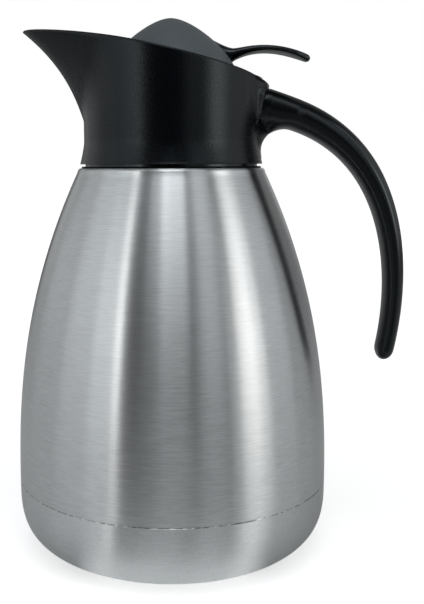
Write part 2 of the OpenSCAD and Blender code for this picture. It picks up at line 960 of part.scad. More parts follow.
outer_shell();
outer_base();
inner_liner();
liner_bottom();
vacuum_getter();
vacuum_plug();
base_pad();
neck_gasket();
neck_ring();
mouth_seal();
pouring_head();
throat_insert();
hinge_bracket();
bracket_screws();
hinge_pin();
return_spring();
handle();
handle_screws();
lid_dome();
thumb_lever();
lever_screws();
lid_carrier();
carrier_screws();
lid_stopper();
lid_gasket();
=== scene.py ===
"""Looks of a thermal carafe with a flip lid: fine surfaces, finishes, studio and camera.

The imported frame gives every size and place. Each sub-assembly is a class that models its visible
skins by hand tools and dresses the frame's own nodes.
"""

import logging
import math
from dataclasses import dataclass, field
from enum import Enum
from typing import Any, Callable, Sequence

import bmesh
import bpy
from mathutils import Matrix, Vector


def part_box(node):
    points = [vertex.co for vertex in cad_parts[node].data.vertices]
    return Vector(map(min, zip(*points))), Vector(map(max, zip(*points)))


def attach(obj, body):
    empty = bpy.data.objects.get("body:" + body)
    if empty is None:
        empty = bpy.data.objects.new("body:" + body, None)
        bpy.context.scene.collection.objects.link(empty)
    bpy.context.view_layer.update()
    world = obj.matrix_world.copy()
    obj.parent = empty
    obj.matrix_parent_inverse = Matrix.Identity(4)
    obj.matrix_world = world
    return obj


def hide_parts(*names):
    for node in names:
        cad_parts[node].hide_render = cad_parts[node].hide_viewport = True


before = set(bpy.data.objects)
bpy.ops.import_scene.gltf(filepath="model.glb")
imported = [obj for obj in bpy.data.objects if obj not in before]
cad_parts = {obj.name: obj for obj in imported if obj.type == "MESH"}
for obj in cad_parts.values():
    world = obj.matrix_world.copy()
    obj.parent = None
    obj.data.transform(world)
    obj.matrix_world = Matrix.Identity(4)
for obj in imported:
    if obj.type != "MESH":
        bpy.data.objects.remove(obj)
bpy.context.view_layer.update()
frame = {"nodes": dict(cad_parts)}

MM = 0.001
LOG = logging.getLogger("carafe")

Point = tuple[float, float]
Ring = list[Vector]
Colour = tuple[float, float, float]


class BodyName(Enum):
    """Bodies of the frame that pieces ride on."""

    VESSEL = "vessel"
    LID = "lid"


class Ends(Enum):
    """How the two ends of a row of rings are closed."""

    CAPPED = "capped"
    LOOPED = "looped"


# Measuring and plain maths


def box_mm(node: str) -> tuple[Vector, Vector]:
    """Give a frame node's box in millimetres.

    Args:
        node: Name of the frame's node.

    Returns:
        The lowest and the highest corner.
    """
    low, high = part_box(node)
    return low / MM, high / MM


def mix(a: Any, b: Any, share: float) -> Any:
    """Give the value a share of the way from a to b."""
    return a + (b - a) * share


def eased(share: float) -> float:
    """Give 1 below 0, 0 above 1 and a soft cosine fall between."""
    return 0.5 + 0.5 * math.cos(math.pi * min(1.0, max(0.0, share)))


def signed_power(value: float, power: float) -> float:
    """Raise a number's size to a power and keep its sign."""
    return math.copysign(abs(value) ** power, value)


def pulled(points: Sequence[Vector], share: float) -> Vector:
    """Give a point of the smooth curve that control points pull.

    Args:
        points: Control points, the first and last of which the curve meets.
        share: How far along the curve, from 0 to 1.

    Returns:
        The curve's point.
    """
    row = list(points)
    while len(row) > 1:
        row = [mix(a, b, share) for a, b in zip(row, row[1:])]
    return row[0]


def spread(low: float, high: float, steps: int) -> list[float]:
    """Give evenly spaced values from low to high, both included."""
    return [mix(low, high, i / steps) for i in range(steps + 1)]


def round_corner(corner: Point, radius: float, start: float, steps: int = 4) -> list[Point]:
    """Give the quarter arc that rounds an outline's corner.

    Args:
        corner: Centre of the arc.
        radius: Radius of the arc.
        start: Angle of the first point in degrees.
        steps: Steps of the quarter; negative steps turn clockwise.

    Returns:
        The arc's points.
    """
    turn = math.copysign(90.0, steps) / abs(steps)
    angles = [math.radians(start + turn * i) for i in range(abs(steps) + 1)]
    return [(corner[0] + radius * math.cos(a), corner[1] + radius * math.sin(a)) for a in angles]


# Modelling tools


def clear_selection() -> None:
    """Leave edit mode and deselect every object."""
    if bpy.context.object and bpy.context.object.mode != "OBJECT":
        bpy.ops.object.mode_set(mode="OBJECT")
    bpy.ops.object.select_all(action="DESELECT")


def settle(piece: bpy.types.Object, name: str, smooth_angle: float = 34.0) -> bpy.types.Object:
    """Merge doubles, turn faces outwards, put the place into the mesh and shade it.

    Args:
        piece: The object, in edit mode.
        name: Name of the finished piece.
        smooth_angle: Widest angle in degrees that is shaded smooth.

    Returns:
        The same object.
    """
    bpy.ops.mesh.select_all(action="SELECT")
    bpy.ops.mesh.remove_doubles(threshold=0.0005 * MM)
    bpy.ops.mesh.normals_make_consistent(inside=False)
    bpy.ops.object.mode_set(mode="OBJECT")
    bpy.ops.object.transform_apply(location=True, rotation=True, scale=True)
    bpy.ops.object.shade_smooth_by_angle(angle=math.radians(smooth_angle))
    piece.name = name
    piece.data.name = name
    return piece


def turned(name: str, outline: Sequence[Point], sides: int = 160) -> bpy.types.Object:
    """Turn an outline round the upright axis by extruding and widening a circle.

    Args:
        name: Name of the piece.
        outline: Radius and height of each point in millimetres. A closed outline repeats its
            first point, and an open one starts and ends on the axis.
        sides: Sides of the circle.

    Returns:
        The finished piece.
    """
    clear_selection()
    pole = outline[0][0] < 1e-6
    start = outline[1] if pole else outline[0]
    bpy.ops.mesh.primitive_circle_add(
        vertices=sides,
        radius=start[0] * MM,
        fill_type="TRIFAN" if pole else "NOTHING",
        location=(0, 0, start[1] * MM),
    )
    piece = bpy.context.object
    bpy.ops.object.mode_set(mode="EDIT")
    if pole:
        centre_to(piece, outline[0][1] * MM - piece.location.z)
    radius, height = start
    for wide, high in outline[2 if pole else 1:]:
        bpy.ops.mesh.extrude_region_move(
            TRANSFORM_OT_translate={"value": (0, 0, (high - height) * MM)}
        )
        if wide < 1e-6:
            bpy.ops.mesh.merge(type="CENTER")
            break
        factor = wide / radius
        bpy.ops.transform.resize(value=(factor, factor, 1), center_override=(0, 0, high * MM))
        radius, height = wide, high
    return settle(piece, name)


def centre_to(piece: bpy.types.Object, height: float) -> None:
    """Lift the middle point of a fanned circle and leave its rim selected.

    Args:
        piece: The fanned circle, in edit mode.
        height: Height of the middle point in the piece's own frame, in metres.
    """
    bpy.ops.mesh.select_all(action="DESELECT")
    bpy.ops.mesh.select_mode(type="EDGE")
    mesh = bmesh.from_edit_mesh(piece.data)
    for vert in mesh.verts:
        if vert.co.xy.length < 1e-7:
            vert.co.z = height
    for edge in mesh.edges:
        if edge.is_boundary:
            edge.select_set(True)
    bmesh.update_edit_mesh(piece.data)


def lofted(name: str, rings: Sequence[Ring], ends: Ends, smooth_angle: float = 34.0) -> bpy.types.Object:
    """Extrude a circle from section to section and shape each section to its ring.

    Args:
        name: Name of the piece.
        rings: Sections with the same number of points, in millimetres.
        ends: Whether the ends are capped or the last section runs back into the first.
        smooth_angle: Widest angle in degrees that is shaded smooth.

    Returns:
        The finished piece.
    """
    clear_selection()
    sides = len(rings[0])
    bpy.ops.mesh.primitive_circle_add(
        vertices=sides, radius=MM, fill_type="NGON" if ends is Ends.CAPPED else "NOTHING"
    )
    piece = bpy.context.object
    bpy.ops.object.mode_set(mode="EDIT")
    mesh = bmesh.from_edit_mesh(piece.data)
    turn = mesh.verts.layers.int.new("turn")
    for index, vert in enumerate(mesh.verts):
        vert[turn] = index
    place_ring(piece, rings[0])
    following = list(rings[1:]) + ([rings[0]] if ends is Ends.LOOPED else [])
    for ring in following:
        bpy.ops.mesh.extrude_region_move(TRANSFORM_OT_translate={"value": (0, 0, 0)})
        place_ring(piece, ring)
    bmesh.from_edit_mesh(piece.data).verts.layers.int.remove(
        bmesh.from_edit_mesh(piece.data).verts.layers.int["turn"]
    )
    return settle(piece, name, smooth_angle)


def place_ring(piece: bpy.types.Object, ring: Ring) -> None:
    """Move the selected section's points onto a ring.

    Args:
        piece: The object, in edit mode, with one section selected.
        ring: The section's points in millimetres.
    """
    mesh = bmesh.from_edit_mesh(piece.data)
    turn = mesh.verts.layers.int["turn"]
    for vert in mesh.verts:
        if vert.select:
            vert.co = ring[vert[turn]] * MM
    bmesh.update_edit_mesh(piece.data, loop_triangles=False, destructive=False)


def cut_away(piece: bpy.types.Object, cutters: Sequence[bpy.types.Object]) -> None:
    """Take cutters out of a piece and drop them.

    Args:
        piece: The piece that keeps what is left.
        cutters: Closed solids that are removed afterwards.
    """
    for cutter in cutters:
        clear_selection()
        piece.select_set(True)
        bpy.context.view_layer.objects.active = piece
        bpy.ops.object.modifier_add(type="BOOLEAN")
        modifier = piece.modifiers[-1]
        modifier.operation = "DIFFERENCE"
        modifier.solver = "EXACT"
        modifier.object = cutter
        bpy.ops.object.modifier_apply(modifier=modifier.name)
        bpy.data.objects.remove(cutter, do_unlink=True)
    clear_selection()
    piece.select_set(True)
    bpy.context.view_layer.objects.active = piece
    bpy.ops.object.shade_smooth_by_angle(angle=math.radians(34.0))


def oval(top: Vector, bottom: Vector, half_width: float, scale: float, sides: int, power: float) -> Ring:
    """Give a closed oval section that stands across the middle plane.

    Args:
        top: Upper point in the middle plane (x, z).
        bottom: Lower point in the middle plane (x, z).
        half_width: Half of the section's width.
        scale: Size of the section against its full size.
        sides: Points round the section.
        power: Exponent that makes the oval fuller or leaner.

    Returns:
        The section's points.
    """
    middle = (top + bottom) / 2
    ring = []
    for k in range(sides):
        angle = 2 * math.pi * k / sides
        point = middle + (top - middle) * signed_power(math.cos(angle), power) * scale
        across = half_width * signed_power(math.sin(angle), power) * scale
        ring.append(Vector((point.x, across, point.y)))
    return ring


# Node trees


class NodeSheet:
    """A node tree that grows by short calls."""

    def __init__(self, tree: bpy.types.NodeTree) -> None:
        """Keep the tree and clear it."""
        self.tree = tree
        self.tree.nodes.clear()

    def add(self, kind: str, inputs: dict[str | int, Any] | None = None, **settings: Any) -> bpy.types.Node:
        """Add a node, set its properties and fill or link its inputs.

        Args:
            kind: Blender's name of the node type.
            inputs: Values or output sockets by the input's name or number.
            **settings: Properties of the node.

        Returns:
            The new node.
        """
        node = self.tree.nodes.new(kind)
        for key, value in settings.items():
            setattr(node, key, value)
        for key, value in (inputs or {}).items():
            if isinstance(value, bpy.types.NodeSocket):
                self.tree.links.new(value, node.inputs[key])
            else:
                node.inputs[key].default_value = value
        return node

    def maths(self, operation: str, first: Any, second: Any = 0.0, clamp: bool = False) -> bpy.types.NodeSocket:
        """Add a Math node and give its result."""
        node = self.add("ShaderNodeMath", {0: first, 1: second}, operation=operation, use_clamp=clamp)
        return node.outputs[0]

    def noise(self, place: Any, scale: float, detail: float = 2.0, roughness: float = 0.5) -> bpy.types.NodeSocket:
        """Add a noise of a given scale and give its value."""
        node = self.add(
            "ShaderNodeTexNoise",
            {"Vector": place, "Scale": scale, "Detail": detail, "Roughness": roughness},
        )
        return node.outputs["Fac"]

    def ramp(self, value: Any, low: float, high: float, out_low: float, out_high: float) -> bpy.types.NodeSocket:
        """Map a value from one clamped span to another."""
        node = self.add(
            "ShaderNodeMapRange", {0: value, 1: low, 2: high, 3: out_low, 4: out_high}, clamp=True
        )
        return node.outputs[0]

    def blend(self, share: Any, first: Any, second: Any) -> bpy.types.NodeSocket:
        """Blend two colours by a share and give the result."""
        node = self.add("ShaderNodeMix", {"Factor": share}, data_type="RGBA")
        for socket, value in zip((node.inputs["A"], node.inputs["B"]), (first, second)):
            socket = [s for s in node.inputs if s.name == socket.name and s.type == "RGBA"][0]
            if isinstance(value, bpy.types.NodeSocket):
                self.tree.links.new(value, socket)
            else:
                socket.default_value = value
        return [s for s in node.outputs if s.type == "RGBA"][0]


@dataclass(frozen=True)
class EffectSocket:
    """One named input or output of an effect."""

    name: str
    kind: str
    value: float | None = None


def effect(
    name: str,
    inputs: Sequence[EffectSocket],
    outputs: Sequence[EffectSocket],
    fill: Callable[[NodeSheet, bpy.types.Node], dict[str, bpy.types.NodeSocket]],
) -> bpy.types.NodeTree:
    """Build an effect group once and give it back on later calls.

    Args:
        name: Name of the group.
        inputs: Its input sockets.
        outputs: Its output sockets.
        fill: Builds the inside and gives the socket behind each output.

    Returns:
        The group's tree.
    """
    found = bpy.data.node_groups.get(name)
    if found:
        return found
    tree = bpy.data.node_groups.new(name, "ShaderNodeTree")
    for way, sockets in (("INPUT", inputs), ("OUTPUT", outputs)):
        for socket in sockets:
            made = tree.interface.new_socket(name=socket.name, in_out=way, socket_type=socket.kind)
            if socket.value is not None:
                made.default_value = socket.value
    sheet = NodeSheet(tree)
    entry = sheet.add("NodeGroupInput")
    results = fill(sheet, entry)
    sheet.add("NodeGroupOutput", dict(results))
    return tree


def brushing() -> bpy.types.NodeTree:
    """Give the effect of fine lines brushed round the axis."""

    def fill(sheet: NodeSheet, entry: bpy.types.Node) -> dict[str, bpy.types.NodeSocket]:
        """Stretch noise along the turn and squeeze it across."""
        split = sheet.add("ShaderNodeSeparateXYZ", {0: entry.outputs["Place"]})
        x, y, z = split.outputs[:3]
        radius = sheet.maths("SQRT", sheet.maths("ADD", sheet.maths("MULTIPLY", x, x), sheet.maths("MULTIPLY", y, y)))
        across = sheet.maths("ADD", z, sheet.maths("MULTIPLY", radius, entry.outputs["Radius Share"]))
        layers = []
        for finer in (1.0, 2.7):
            long = sheet.maths("DIVIDE", finer / MM, entry.outputs["Line Length"])
            tight = sheet.maths("DIVIDE", finer / MM, entry.outputs["Line Pitch"])
            place = sheet.add(
                "ShaderNodeCombineXYZ",
                {
                    0: sheet.maths("MULTIPLY", x, long),
                    1: sheet.maths("MULTIPLY", y, long),
                    2: sheet.maths("MULTIPLY", across, tight),
                },
            ).outputs[0]
            layers.append(sheet.noise(place, 1.0, 1.5, 0.6))
        lines = sheet.maths("ADD", sheet.maths("MULTIPLY", layers[0], 0.6), sheet.maths("MULTIPLY", layers[1], 0.4))
        return {"Lines": sheet.ramp(lines, 0.3, 0.7, 0.0, 1.0)}

    return effect(
        "Round brushing",
        [
            EffectSocket("Place", "NodeSocketVector"),
            EffectSocket("Line Pitch", "NodeSocketFloat", 0.5),
            EffectSocket("Line Length", "NodeSocketFloat", 12.0),
            EffectSocket("Radius Share", "NodeSocketFloat", -1.0),
        ],
        [EffectSocket("Lines", "NodeSocketFloat")],
        fill,
    )


def moulded_grain() -> bpy.types.NodeTree:
    """Give the effect of a spark-eroded plastic grain."""

    def fill(sheet: NodeSheet, entry: bpy.types.Node) -> dict[str, bpy.types.NodeSocket]:
        """Mix a coarse and a fine noise of the grain's size."""
        scale = sheet.maths("DIVIDE", 1 / MM, entry.outputs["Grain Size"])
        place = sheet.add(
            "ShaderNodeVectorMath",
            {0: entry.outputs["Place"], "Scale": scale},
            operation="SCALE",
        ).outputs[0]
        coarse = sheet.noise(place, 1.0, 2.0, 0.6)
        fine = sheet.noise(place, 2.9, 1.0, 0.5)
        height = sheet.maths("ADD", sheet.maths("MULTIPLY", coarse, 0.65), sheet.maths("MULTIPLY", fine, 0.35))
        return {"Height": height, "Tone": sheet.ramp(height, 0.32, 0.68, 0.0, 1.0)}

    return effect(
        "Moulded grain",
        [EffectSocket("Place", "NodeSocketVector"), EffectSocket("Grain Size", "NodeSocketFloat", 0.5)],
        [EffectSocket("Height", "NodeSocketFloat"), EffectSocket("Tone", "NodeSocketFloat")],
        fill,
    )


def handling() -> bpy.types.NodeTree:
    """Give the effect of soft patches that hands and cloths leave."""

    def fill(sheet: NodeSheet, entry: bpy.types.Node) -> dict[str, bpy.types.NodeSocket]:
        """Cut soft patches out of a slow noise and break them by a finer one."""
        scale = sheet.maths("DIVIDE", 1 / MM, entry.outputs["Patch Size"])
        place = sheet.add(
            "ShaderNodeVectorMath", {0: entry.outputs["Place"], "Scale": scale}, operation="SCALE"
        ).outputs[0]
        slow = sheet.noise(place, 1.0, 3.0, 0.55)
        quick = sheet.noise(place, 7.0, 2.0, 0.5)
        patches = sheet.ramp(slow, 0.42, 0.66, 0.0, 1.0)
        return {"Patches": sheet.maths("MULTIPLY", patches, sheet.ramp(quick, 0.3, 0.7, 0.6, 1.0))}

    return effect(
        "Handling marks",
        [EffectSocket("Place", "NodeSocketVector"), EffectSocket("Patch Size", "NodeSocketFloat", 30.0)],
        [EffectSocket("Patches", "NodeSocketFloat")],
        fill,
    )


def weld_line_and_glint() -> bpy.types.NodeTree:
    """Give the effect of a ground weld: a thin dark line, with brighter metal dashes that are painted glints of light
    on the bead.
    """

    def fill(sheet: NodeSheet, entry: bpy.types.Node) -> dict[str, bpy.types.NodeSocket]:
        """Mask a band round the axis at one height and break it along the turn."""
        z = sheet.add("ShaderNodeSeparateXYZ", {0: entry.outputs["Place"]}).outputs[2]
        off = sheet.maths("ABSOLUTE", sheet.maths("SUBTRACT", z, entry.outputs["Weld Height"]))
        band = sheet.add(
            "ShaderNodeMapRange", {0: off, 1: 0.0, 2: entry.outputs["Weld Width"], 3: 1.0, 4: 0.0}, clamp=True
        ).outputs[0]
        broken = sheet.noise(entry.outputs["Place"], 420.0, 1.0, 0.5)
        dark = sheet.maths("MULTIPLY", band, sheet.ramp(broken, 0.42, 0.58, 0.85, 0.2))
        # Painted glint: bright dashes that stand in for light caught on the weld bead.
        painted_glint = sheet.maths("MULTIPLY", band, sheet.ramp(broken, 0.54, 0.62, 0.0, 0.8))
        return {"Dark": dark, "Bright": painted_glint}

    return effect(
        "Weld line and painted glint",
        [
            EffectSocket("Place", "NodeSocketVector"),
            EffectSocket("Weld Height", "NodeSocketFloat", 0.0),
            EffectSocket("Weld Width", "NodeSocketFloat", 0.0004),
        ],
        [EffectSocket("Dark", "NodeSocketFloat"), EffectSocket("Bright", "NodeSocketFloat")],
        fill,
    )


# Finishes


def rgba(colour: Colour) -> tuple[float, float, float, float]:
    """Give an opaque colour with its alpha."""
    return (*colour, 1.0)


def new_sheet(name: str) -> tuple[bpy.types.Material, NodeSheet, bpy.types.NodeSocket]:
    """Start a material.

    Args:
        name: Name of the material.

    Returns:
        The material, its empty sheet and the object coordinates.
    """
    material = bpy.data.materials.new(name)
    material.use_nodes = True
    sheet = NodeSheet(material.node_tree)
    place = sheet.add("ShaderNodeTexCoord").outputs["Object"]
    return material, sheet, place


@dataclass(frozen=True)
class SteelFinish:
    """Stainless steel, brushed round the axis or blasted."""

    name: str
    colour: Colour = (0.582, 0.605, 0.611)
    rough: float = 0.32
    rough_span: float = 0.03
    stretch: float = 1.0
    lay: float = 0.25
    pitch: float = 0.4
    length: float = 8.0
    radius_share: float = -1.0
    contrast: float = 0.15
    relief: float = 0.008
    grain: float = 0.0
    weld_height: float | None = None

    def material(self) -> bpy.types.Material:
        """Build the material.

        Returns:
            The material, with brushing, handling marks and, where it has one, the weld line with its painted glint
            dashes.
        """
        material, sheet, place = new_sheet(self.name)
        lines = place_effect(sheet, brushing(), place, (self.pitch, self.length, self.radius_share))
        marks = place_effect(sheet, handling(), place, (38.0,))
        height = lines.outputs["Lines"]
        if self.grain:
            grain = place_effect(sheet, moulded_grain(), place, (self.grain,))
            height = sheet.maths("ADD", sheet.maths("MULTIPLY", height, 0.4), grain.outputs["Height"])
        darker = tuple(c * (1 - self.contrast) for c in self.colour)
        lighter = tuple(min(1.0, c * (1 + self.contrast)) for c in self.colour)
        colour = sheet.blend(height, rgba(darker), rgba(lighter))
        rough = sheet.ramp(height, 0.0, 1.0, self.rough - self.rough_span, self.rough + self.rough_span)
        rough = sheet.maths("ADD", rough, sheet.maths("MULTIPLY", marks.outputs["Patches"], 0.03))
        if self.weld_height is not None:
            weld = place_effect(sheet, weld_line_and_glint(), place, (self.weld_height * MM, 0.42 * MM))
            colour = sheet.blend(weld.outputs["Dark"], colour, rgba((0.12, 0.12, 0.12)))
            # Dark weld line, then painted glints of brighter metal on the bead.
            colour = sheet.blend(weld.outputs["Bright"], colour, rgba((0.85, 0.85, 0.85)))
        bump = sheet.add("ShaderNodeBump", {"Height": height, "Strength": 0.5, "Distance": self.relief * MM})
        tangent = sheet.add("ShaderNodeTangent", direction_type="RADIAL", axis="Z")
        shader = sheet.add(
            "ShaderNodeBsdfPrincipled",
            {
                "Base Color": colour,
                "Metallic": 1.0,
                "Roughness": rough,
                "Anisotropic": self.stretch,
                "Anisotropic Rotation": self.lay,
                "Normal": bump.outputs[0],
                "Tangent": tangent.outputs[0],
            },
        )
        sheet.add("ShaderNodeOutputMaterial", {0: shader.outputs[0]})
        return material


def place_effect(
    sheet: NodeSheet, tree: bpy.types.NodeTree, place: bpy.types.NodeSocket, values: Sequence[float]
) -> bpy.types.Node:
    """Put an effect group into a material.

    Args:
        sheet: The material's sheet.
        tree: The effect.
        place: Coordinates for its first input.
        values: Values of its other inputs, in order.

    Returns:
        The group node.
    """
    node = sheet.tree.nodes.new("ShaderNodeGroup")
    node.node_tree = tree
    sheet.tree.links.new(place, node.inputs[0])
    for socket, value in zip(node.inputs[1:], values):
        socket.default_value = value
    return node


@dataclass(frozen=True)
class PlasticFinish:
    """Moulded plastic or rubber, from grained matte to half gloss."""

    name: str
    colour: Colour
    rough: float = 0.5
    rough_span: float = 0.06
    grain: float = 0.5
    relief: float = 0.03
    tone: float = 0.12
    gloss_level: float = 0.3
    gloss_tint: Colour = (0.86, 0.96, 1.0)
    patch: float = 26.0
    patch_shine: float = 0.06
    coat: float = 0.0

    def material(self) -> bpy.types.Material:
        """Build the material.

        Returns:
            The material, with its grain, tone and handling marks.
        """
        material, sheet, place = new_sheet(self.name)
        grain = place_effect(sheet, moulded_grain(), place, (self.grain,))
        marks = place_effect(sheet, handling(), place, (self.patch,))
        darker = tuple(c * (1 - self.tone) for c in self.colour)
        lighter = tuple(c * (1 + self.tone) for c in self.colour)
        colour = sheet.blend(grain.outputs["Tone"], rgba(darker), rgba(lighter))
        rough = sheet.ramp(
            grain.outputs["Tone"], 0.0, 1.0, self.rough + self.rough_span, self.rough - self.rough_span
        )
        rough = sheet.maths(
            "SUBTRACT", rough, sheet.maths("MULTIPLY", marks.outputs["Patches"], self.patch_shine), clamp=True
        )
        bump = sheet.add(
            "ShaderNodeBump", {"Height": grain.outputs["Height"], "Strength": 0.6, "Distance": self.relief * MM}
        )
        shader = sheet.add(
            "ShaderNodeBsdfPrincipled",
            {
                "Base Color": colour,
                "Roughness": rough,
                "Specular IOR Level": self.gloss_level,
                "Specular Tint": rgba(self.gloss_tint),
                "Coat Weight": self.coat,
                "Coat Roughness": 0.2,
                "Normal": bump.outputs[0],
            },
        )
        sheet.add("ShaderNodeOutputMaterial", {0: shader.outputs[0]})
        return material


def dress(piece: bpy.types.Object, material: bpy.types.Material) -> None:
    """Give a piece one material.

    Args:
        piece: A new piece or one of the frame's nodes.
        material: The material that covers it.
    """
    piece.data.materials.clear()
    piece.data.materials.append(material)


def mount_piece(
    piece: bpy.types.Object, body: BodyName, material: bpy.types.Material, nodes: Sequence[str]
) -> None:
    """Dress a finished piece, fix it to its body and hide the frame nodes that it stands for.

    Args:
        piece: The finished piece.
        body: The body that carries it.
        material: The material that covers it.
        nodes: Frame nodes that it stands for.
    """
    dress(piece, material)
    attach(piece, body.value)
    if nodes:
        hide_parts(*nodes)
    LOG.info("%s: %d faces, rides on %s", piece.name, len(piece.data.polygons), body.value)


@dataclass(frozen=True)
class Palette:
    """All finishes of the carafe, built once."""

    shell: bpy.types.Material
    cup: bpy.types.Material
    inner_steel: bpy.types.Material
    hardware: bpy.types.Material
    head: bpy.types.Material
    dome: bpy.types.Material
    black: bpy.types.Material
    rubber: bpy.types.Material
    silicone: bpy.types.Material

    @classmethod
    def build(cls, seam_z: float) -> "Palette":
        """Build every material.

        Args:
            seam_z: Height of the weld between shell and cup, in millimetres.

        Returns:
            The palette.
        """
        return cls(
            shell=SteelFinish("steel brushed round", weld_height=seam_z).material(),
            cup=SteelFinish(
                "steel blasted cup", (0.555, 0.577, 0.583), rough=0.33, stretch=1.0, lay=0.2375, grain=0.8, contrast=0.24, relief=0.02,
                radius_share=1.0, weld_height=seam_z,
            ).material(),
            inner_steel=SteelFinish("steel drawn", rough=0.36, stretch=0.3, pitch=0.9, contrast=0.06).material(),
            hardware=SteelFinish(
                "steel hardware", rough=0.28, stretch=0.2, pitch=0.3, length=2.0, contrast=0.05, relief=0.008
            ).material(),
            head=PlasticFinish(
                "plastic grained charcoal", (0.0008, 0.0015, 0.0025), rough=0.27, rough_span=0.05, grain=0.75,
                relief=0.1, tone=0.3, gloss_level=0.26, patch_shine=0.02
            ).material(),
            dome=PlasticFinish(
                "plastic satin grey", (0.084, 0.097, 0.105), rough=0.44, grain=0.5, relief=0.05, tone=0.2
            ).material(),
            black=PlasticFinish(
                "plastic half gloss black", (0.0006, 0.0012, 0.002), rough=0.225, rough_span=0.03, grain=0.9,
                relief=0.003, tone=0.2, gloss_level=0.42, patch_shine=0.03,
            ).material(),
            rubber=PlasticFinish("rubber black", (0.0012, 0.0012, 0.0014), rough=0.6, relief=0.02, gloss_level=0.06).material(),
            silicone=PlasticFinish("silicone grey", (0.42, 0.42, 0.4), rough=0.45, relief=0.01, tone=0.04).material(),
        )


# The carafe's sub-assemblies


@dataclass
class Levels:
    """Heights and reaches read from the frame, in millimetres."""

    body_r: float
    seam_z: float
    foot_z: float
    lip_z: float
    neck_r: float
    shoulder_z: float
    shoulder_r: float
    collar_z: float
    skirt_r: float
    spout_tip: float
    pad_r: float
    dome_r: float
    dome_top: float
    dome_low: float
    hinge_x: float
    hinge_z: float

    @classmethod
    def from_frame(cls) -> "Levels":
        """Read every level from the nodes' boxes.

        Returns:
            The levels.
        """
        shell_low, shell_high = box_mm("outer_shell")
        cup_low, cup_high = box_mm("outer_base")
        washer_low, washer_high = box_mm("neck_gasket")
        head_low, head_high = box_mm("pouring_head")
        dome_low, dome_high = box_mm("lid_dome")
        pin_low, pin_high = box_mm("hinge_pin")
        return cls(
            body_r=cup_high.x,
            seam_z=shell_low.z,
            foot_z=cup_low.z,
            lip_z=shell_high.z,
            neck_r=washer_high.x - 4.3,
            shoulder_z=washer_low.z,
            shoulder_r=washer_high.x + 0.1,
            collar_z=head_low.z,
            skirt_r=head_high.y,
            spout_tip=-head_low.x,
            pad_r=box_mm("base_pad")[1].x,
            dome_r=dome_high.y,
            dome_top=dome_high.z,
            dome_low=dome_low.z,
            hinge_x=(pin_low.x + pin_high.x) / 2,
            hinge_z=(pin_low.z + pin_high.z) / 2,
        )


@dataclass
class SteelBody:
    """The double wall's outer skins: the shell with its neck, the cup, and the weld between."""

    levels: Levels
    sheet: float = 0.8
    belly_z: float = 30.0
    shell_power: float = 2.35
    knee_drop: float = 1.8
    knee_out: float = 1.75
    corner_z: float = 30.5
    corner_share: float = 0.671
    corner_across: float = 2 / 3.555
    corner_up: float = 2 / 2.979
    corner_end: float = 76.0
    weld_v: float = 0.25
    recess_h: float = 3.0
    play: float = 0.3
    sides: int = 192

    def shell_r(self, z: float) -> float:
        """Give the shell's radius at a height."""
        knee_z = self.levels.shoulder_z - self.knee_drop
        knee_r = self.levels.shoulder_r + self.knee_out
        share = max(0.0, z - self.belly_z) / (knee_z - self.belly_z)
        return self.levels.body_r - (self.levels.body_r - knee_r) * share ** self.shell_power

    def corner(self, angle: float, inset: float) -> Point:
        """Give a point of the cup's rounded corner.

        Args:
            angle: Angle in degrees, from the widest height (0) downwards.
            inset: Distance inside the outer face.

        Returns:
            Radius and height.
        """
        side = self.corner_share * self.levels.body_r
        a = math.radians(angle)
        return (
            self.levels.body_r - side + (side - inset) * math.cos(a) ** self.corner_across,
            self.corner_z - (self.corner_z - inset) * math.sin(a) ** self.corner_up,
        )

    def shell_outline(self) -> list[Point]:
        """Give the closed outline of the shell and its neck."""
        lv = self.levels
        knee_z = lv.shoulder_z - self.knee_drop
        knee_r = lv.shoulder_r + self.knee_out
        outside = [(self.shell_r(z), z) for z in spread(lv.seam_z + self.weld_v, knee_z, 64)]
        bend = [
            (knee_r - self.knee_out * (1 - math.cos(a)), knee_z + self.knee_drop * math.sin(a))
            for a in (math.radians(d) for d in range(10, 91, 10))
        ]
        inside = [(self.shell_r(z) - self.sheet, z) for z in spread(knee_z, lv.seam_z, 16)]
        neck_in = lv.neck_r - self.sheet
        roof = lv.shoulder_z - self.sheet
        outline = [(lv.body_r - self.weld_v, lv.seam_z)] + outside + bend
        outline += [(lv.neck_r, lv.shoulder_z), (lv.neck_r, lv.lip_z), (neck_in, lv.lip_z)]
        outline += [(neck_in, roof), (lv.shoulder_r - self.sheet, roof)] + inside
        return outline + [outline[0]]

    def cup_outline(self) -> list[Point]:
        """Give the closed outline of the base cup with its recess."""
        lv = self.levels
        turns = [self.corner_end * (i / 44) for i in range(45)]
        outside = [self.corner(a, 0.0) for a in turns]
        inside = [self.corner(a, self.sheet) for a in reversed(turns[::4])]
        foot_r, foot_z = outside[-1]
        wall = lv.pad_r + self.play
        roof = foot_z + self.recess_h
        outline = [(lv.body_r - self.sheet, lv.seam_z), (lv.body_r - self.weld_v, lv.seam_z)]
        outline += [(lv.body_r, lv.seam_z - self.weld_v)] + outside
        outline += [(wall, foot_z), (wall, roof), (2.0, roof), (2.0, roof + self.sheet)]
        outline += [(wall + self.sheet, roof + self.sheet), (wall + self.sheet, inside[0][1])] + inside
        return outline + [outline[0]]

    def build(self, palette: Palette) -> None:
        """Model the shell and the cup and dress the steel inside."""
        shell = turned("steel_shell", self.shell_outline(), self.sides)
        mount_piece(shell, BodyName.VESSEL, palette.shell, ["outer_shell"])
        cup = turned("steel_cup", self.cup_outline(), self.sides)
        mount_piece(cup, BodyName.VESSEL, palette.cup, ["outer_base"])
        for node in ("inner_liner", "liner_bottom", "vacuum_getter", "vacuum_plug"):
            dress(frame["nodes"][node], palette.inner_steel)


